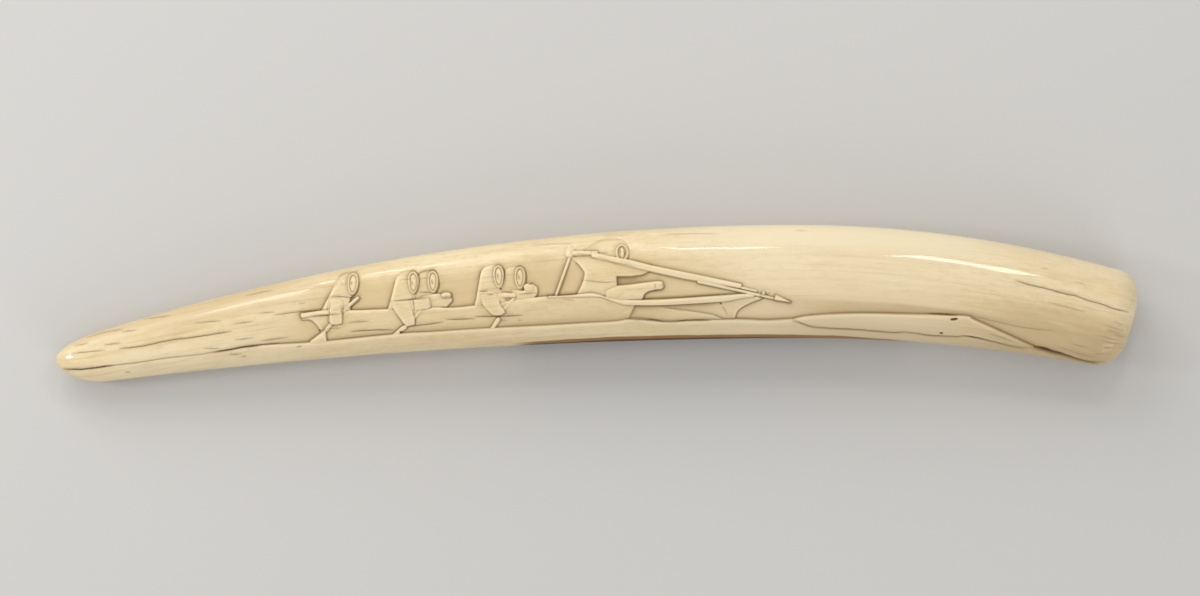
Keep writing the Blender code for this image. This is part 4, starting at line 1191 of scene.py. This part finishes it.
# Each colour in its share lies over the ones before it.
colour = blend_colour(ramp(patches, 0.36, 0.66, 0.1, 0.85), CREAM, HONEY)
for share, over in (
    (ramp(clouds, 0.5, 0.72, 0.0, 0.6), TAN),
    (ramp(clouds, 0.46, 0.3, 0.0, 0.5), PALE_CREAM),
    (ramp(flecks, 0.52, 0.72, 0.0, 0.5), TAN),
    (ramp(flecks, 0.46, 0.3, 0.0, 0.45), PALE_CREAM),
    (ramp(mottle, 0.5, 0.7, 0.0, 0.35), TAN),
    (ramp(mottle, 0.48, 0.32, 0.0, 0.3), PALE_CREAM),
    # The lower side is painted darker, partly as painted shade, and the tip is tan above and pale
    # below.
    (times(by_side(0.004, -0.02), by_length(-0.13, 0.03, 0.1, 0.75)), TAN),
    (times(by_length(-0.22, -0.32), by_side(0.003, 0.014), 0.7), TAN),
    (times(by_length(-0.25, -0.32), by_side(0.004, -0.008), 0.4), PALE_CREAM),
    (ramp(streaks, 0.52, 0.75, 0.0, 0.45), STREAK_BROWN),
    (ramp(hairlines, 0.62, 0.76, 0.0, 0.45), STREAK_BROWN),
    (ramp(specks, 0.68, 0.8, 0.0, 0.3), STREAK_BROWN),
    # The sunk ground is painted darker the deeper it lies: painted shade in the recesses.
    (ramp(sunk, 0.08, 0.9, 0.0, 0.8), SHADED_GROUND_HONEY),
    (ramp(sunk, 1.08, 1.34, 0.0, 0.55), STREAK_BROWN),
    # Raised rims are lighter: wear and painted highlight.
    (times(rubbed_and_lit, 0.7), WORN_LIT_CREAM),
    # The middle of the tusk, past the harpoon, is palest, and its upper shoulder is painted paler
    # still, as painted light.
    (times(by_length(-0.10, -0.01), by_length(0.13, 0.06), 0.45), PALE_CREAM),
    (
        times(by_side(0.014, 0.024), by_length(-0.1, 0.0), by_length(0.06, 0.14, 0.8, 0.35)),
        PALE_CREAM,
    ),
    # The butt's lower side is the darkest of the bare skin, partly painted shade.
    (
        times(
            by_length(0.08, 0.17),
            by_side(0.012, -0.016),
            by_length(0.172, 0.188, 1.0, 0.4),
            ramp(clouds, 0.3, 0.6, 0.45, 0.85),
        ),
        DARK_TAN,
    ),
    # The ground over the whale is dark too, and the lower rim below it is darker, partly painted
    # shade.
    (
        times(
            by_side(0.004, -0.012),
            ramp(sunk, 0.0, 0.2),
            by_length(-0.03, 0.03),
            ramp(clouds, 0.35, 0.65, 0.6, 0.95),
        ),
        TAN,
    ),
    (times(by_side(-0.019, -0.029), by_length(-0.03, 0.03), 0.35), DARK_TAN),
    # The painted shade and shadow along the lower side.
    (stain_and_shade, UNDERSIDE_SHADE_BROWN),
    (underside_shadow, UNDERSIDE_SHADOW_BLACK),
    # Dirt at the foot of each carved edge, with the painted shade round it.
    (times(soiled_and_shaded, ramp(patches, 0.25, 0.65, 0.95, 0.65)), DIRT_SHADE_BROWN),
    (cracked, CRACK_BROWN),
):
    colour = blend_colour(share, colour, over)
put(colour, shader.inputs["Base Color"])

# Dirt, cracks, the painted shade under the lower side and the worn edges are dull. The rest has
# kept its polish.
dull = cracked
for share in (soiled_and_shaded, stain_and_shade, rubbed_and_lit):
    dull = combined("MAXIMUM", dull, share)
gloss = times(ramp(dull, 0.1, 0.9, 0.6, 0.0), ramp(sunk, 0.1, 0.35, 1.0, 0.3))
put(gloss, shader.inputs["Coat Weight"])
rough = ramp(streaks, 0.3, 0.8, 0.38, 0.55)
for share in (soiled_and_shaded, stain_and_shade, cracked):
    rough = combined("ADD", rough, times(share, DULL_SHARE))
put(rough, shader.inputs["Roughness"])
fine_grain = combined("ADD", streaks, times(hairlines, 0.6))
put(bumped(fine_grain, 0.25), shader.inputs["Normal"])
put(bumped(streaks, 0.04), shader.inputs["Coat Normal"])
mesh.materials.append(ivory)


# The studio. A plain pale floor, a broad soft box above the far side, and small bright boxes
# whose reflections are the streaks along the tusk's shoulder.
FRAME_WIDE = 0.6783
FRAME_MIDDLE = (0.0018, 0.00297)
LENS = 600
SENSOR = 36
TUSK_HIGH = 0.02
FLOOR_REACH = 4
CAMERA_HIGH = TUSK_HIGH + FRAME_WIDE / 2 / (SENSOR / 2 / LENS)
LIGHT_TINT = (1.0, 0.97, 0.92)
STREAK_FAR = 1.1

camera = bpy.data.objects.new("camera", bpy.data.cameras.new("camera"))
camera.data.lens = LENS
camera.data.sensor_width = SENSOR
camera.location = (*FRAME_MIDDLE, CAMERA_HIGH)
bpy.context.scene.collection.objects.link(camera)
bpy.context.scene.camera = camera
bpy.context.scene.view_settings.view_transform = "Standard"

floor_mesh = bpy.data.meshes.new("floor")
corners = ((-1, -1), (1, -1), (1, 1), (-1, 1))
corners = [(x * FLOOR_REACH, y * FLOOR_REACH, 0) for x, y in corners]
floor_mesh.from_pydata(corners, [], [(0, 1, 2, 3)])
floor = bpy.data.objects.new("floor", floor_mesh)
bpy.context.scene.collection.objects.link(floor)
paper = bpy.data.materials.new("paper")
paper.use_nodes = True
paper_shader = paper.node_tree.nodes["Principled BSDF"]
paper_shader.inputs["Base Color"].default_value = (0.6, 0.6, 0.6, 1)
paper_shader.inputs["Roughness"].default_value = 0.9
floor_mesh.materials.append(paper)

world = bpy.data.worlds.new("studio")
bpy.context.scene.world = world
world.use_nodes = True
sky = world.node_tree.nodes["Background"]
sky.inputs["Color"].default_value = (1.0, 0.98, 0.95, 1)
sky.inputs["Strength"].default_value = 0.67


def add_box_light(name, middle, long, wide, power, towards=(0, 0, 0), along=(1, 0, 0)):
    """A soft box at a place, facing another, with its length laid along a direction."""
    light = bpy.data.lights.new(name, "AREA")
    light.shape = "RECTANGLE"
    light.size, light.size_y = long, wide
    light.energy = power
    light.color = LIGHT_TINT
    back = (Vector(middle) - Vector(towards)).normalized()
    side = Vector(along) - Vector(along).project(back)
    side.normalize()
    box = bpy.data.objects.new(name, light)
    box.matrix_world = Matrix.Translation(middle) @ Matrix(
        (side, back.cross(side), back)
    ).transposed().to_4x4()
    bpy.context.scene.collection.objects.link(box)


add_box_light("soft_box", (-1.53, 2.19, 1.36), long=2.8, wide=1.7, power=31)
add_box_light("fill_box", (1.5, -2.3, 1.3), long=1.6, wide=1.2, power=13.5)


def add_streak(name, start, end, wide, bright):
    """A light whose reflection runs between two places (s, d) in millimetres of the skin."""
    ends = []
    for place in (start, end):
        s, d = np.array([place[0] * MM]), np.array([place[1] * MM])
        at = Vector(skin(s, way_round(s, d))[0]) + cad_shift
        normal = Vector(skin_normal(s, way_round(s, d))[0])
        view = (camera.location - at).normalized()
        ends.append((at, (2 * normal.dot(view) * normal - view) * STREAK_FAR))
    (first, first_way), (last, last_way) = ends
    middle = (first + first_way + last + last_way) / 2
    along = last + last_way - first - first_way
    power = bright * math.pi * along.length * wide
    add_box_light(name, middle, along.length, wide, power, (first + last) / 2, along)


add_streak("left_streak", (-317, 13.2), (-278, 16.6), wide=0.13, bright=7)
add_streak("hood_streak", (-246, 19), (-199, 19), wide=0.05, bright=9)
add_streak("middle_streak", (-85, 20), (-15, 19), wide=0.04, bright=13)
add_streak("right_streak", (57, 17.4), (124, 15.2), wide=0.13, bright=13)
add_streak("tip_glint", (-416.2, 4.8), (-415, 3.2), wide=0.18, bright=20)

print(len(mesh.vertices), "vertices", len(mesh.polygons), "triangles", open_edges, "open edges")
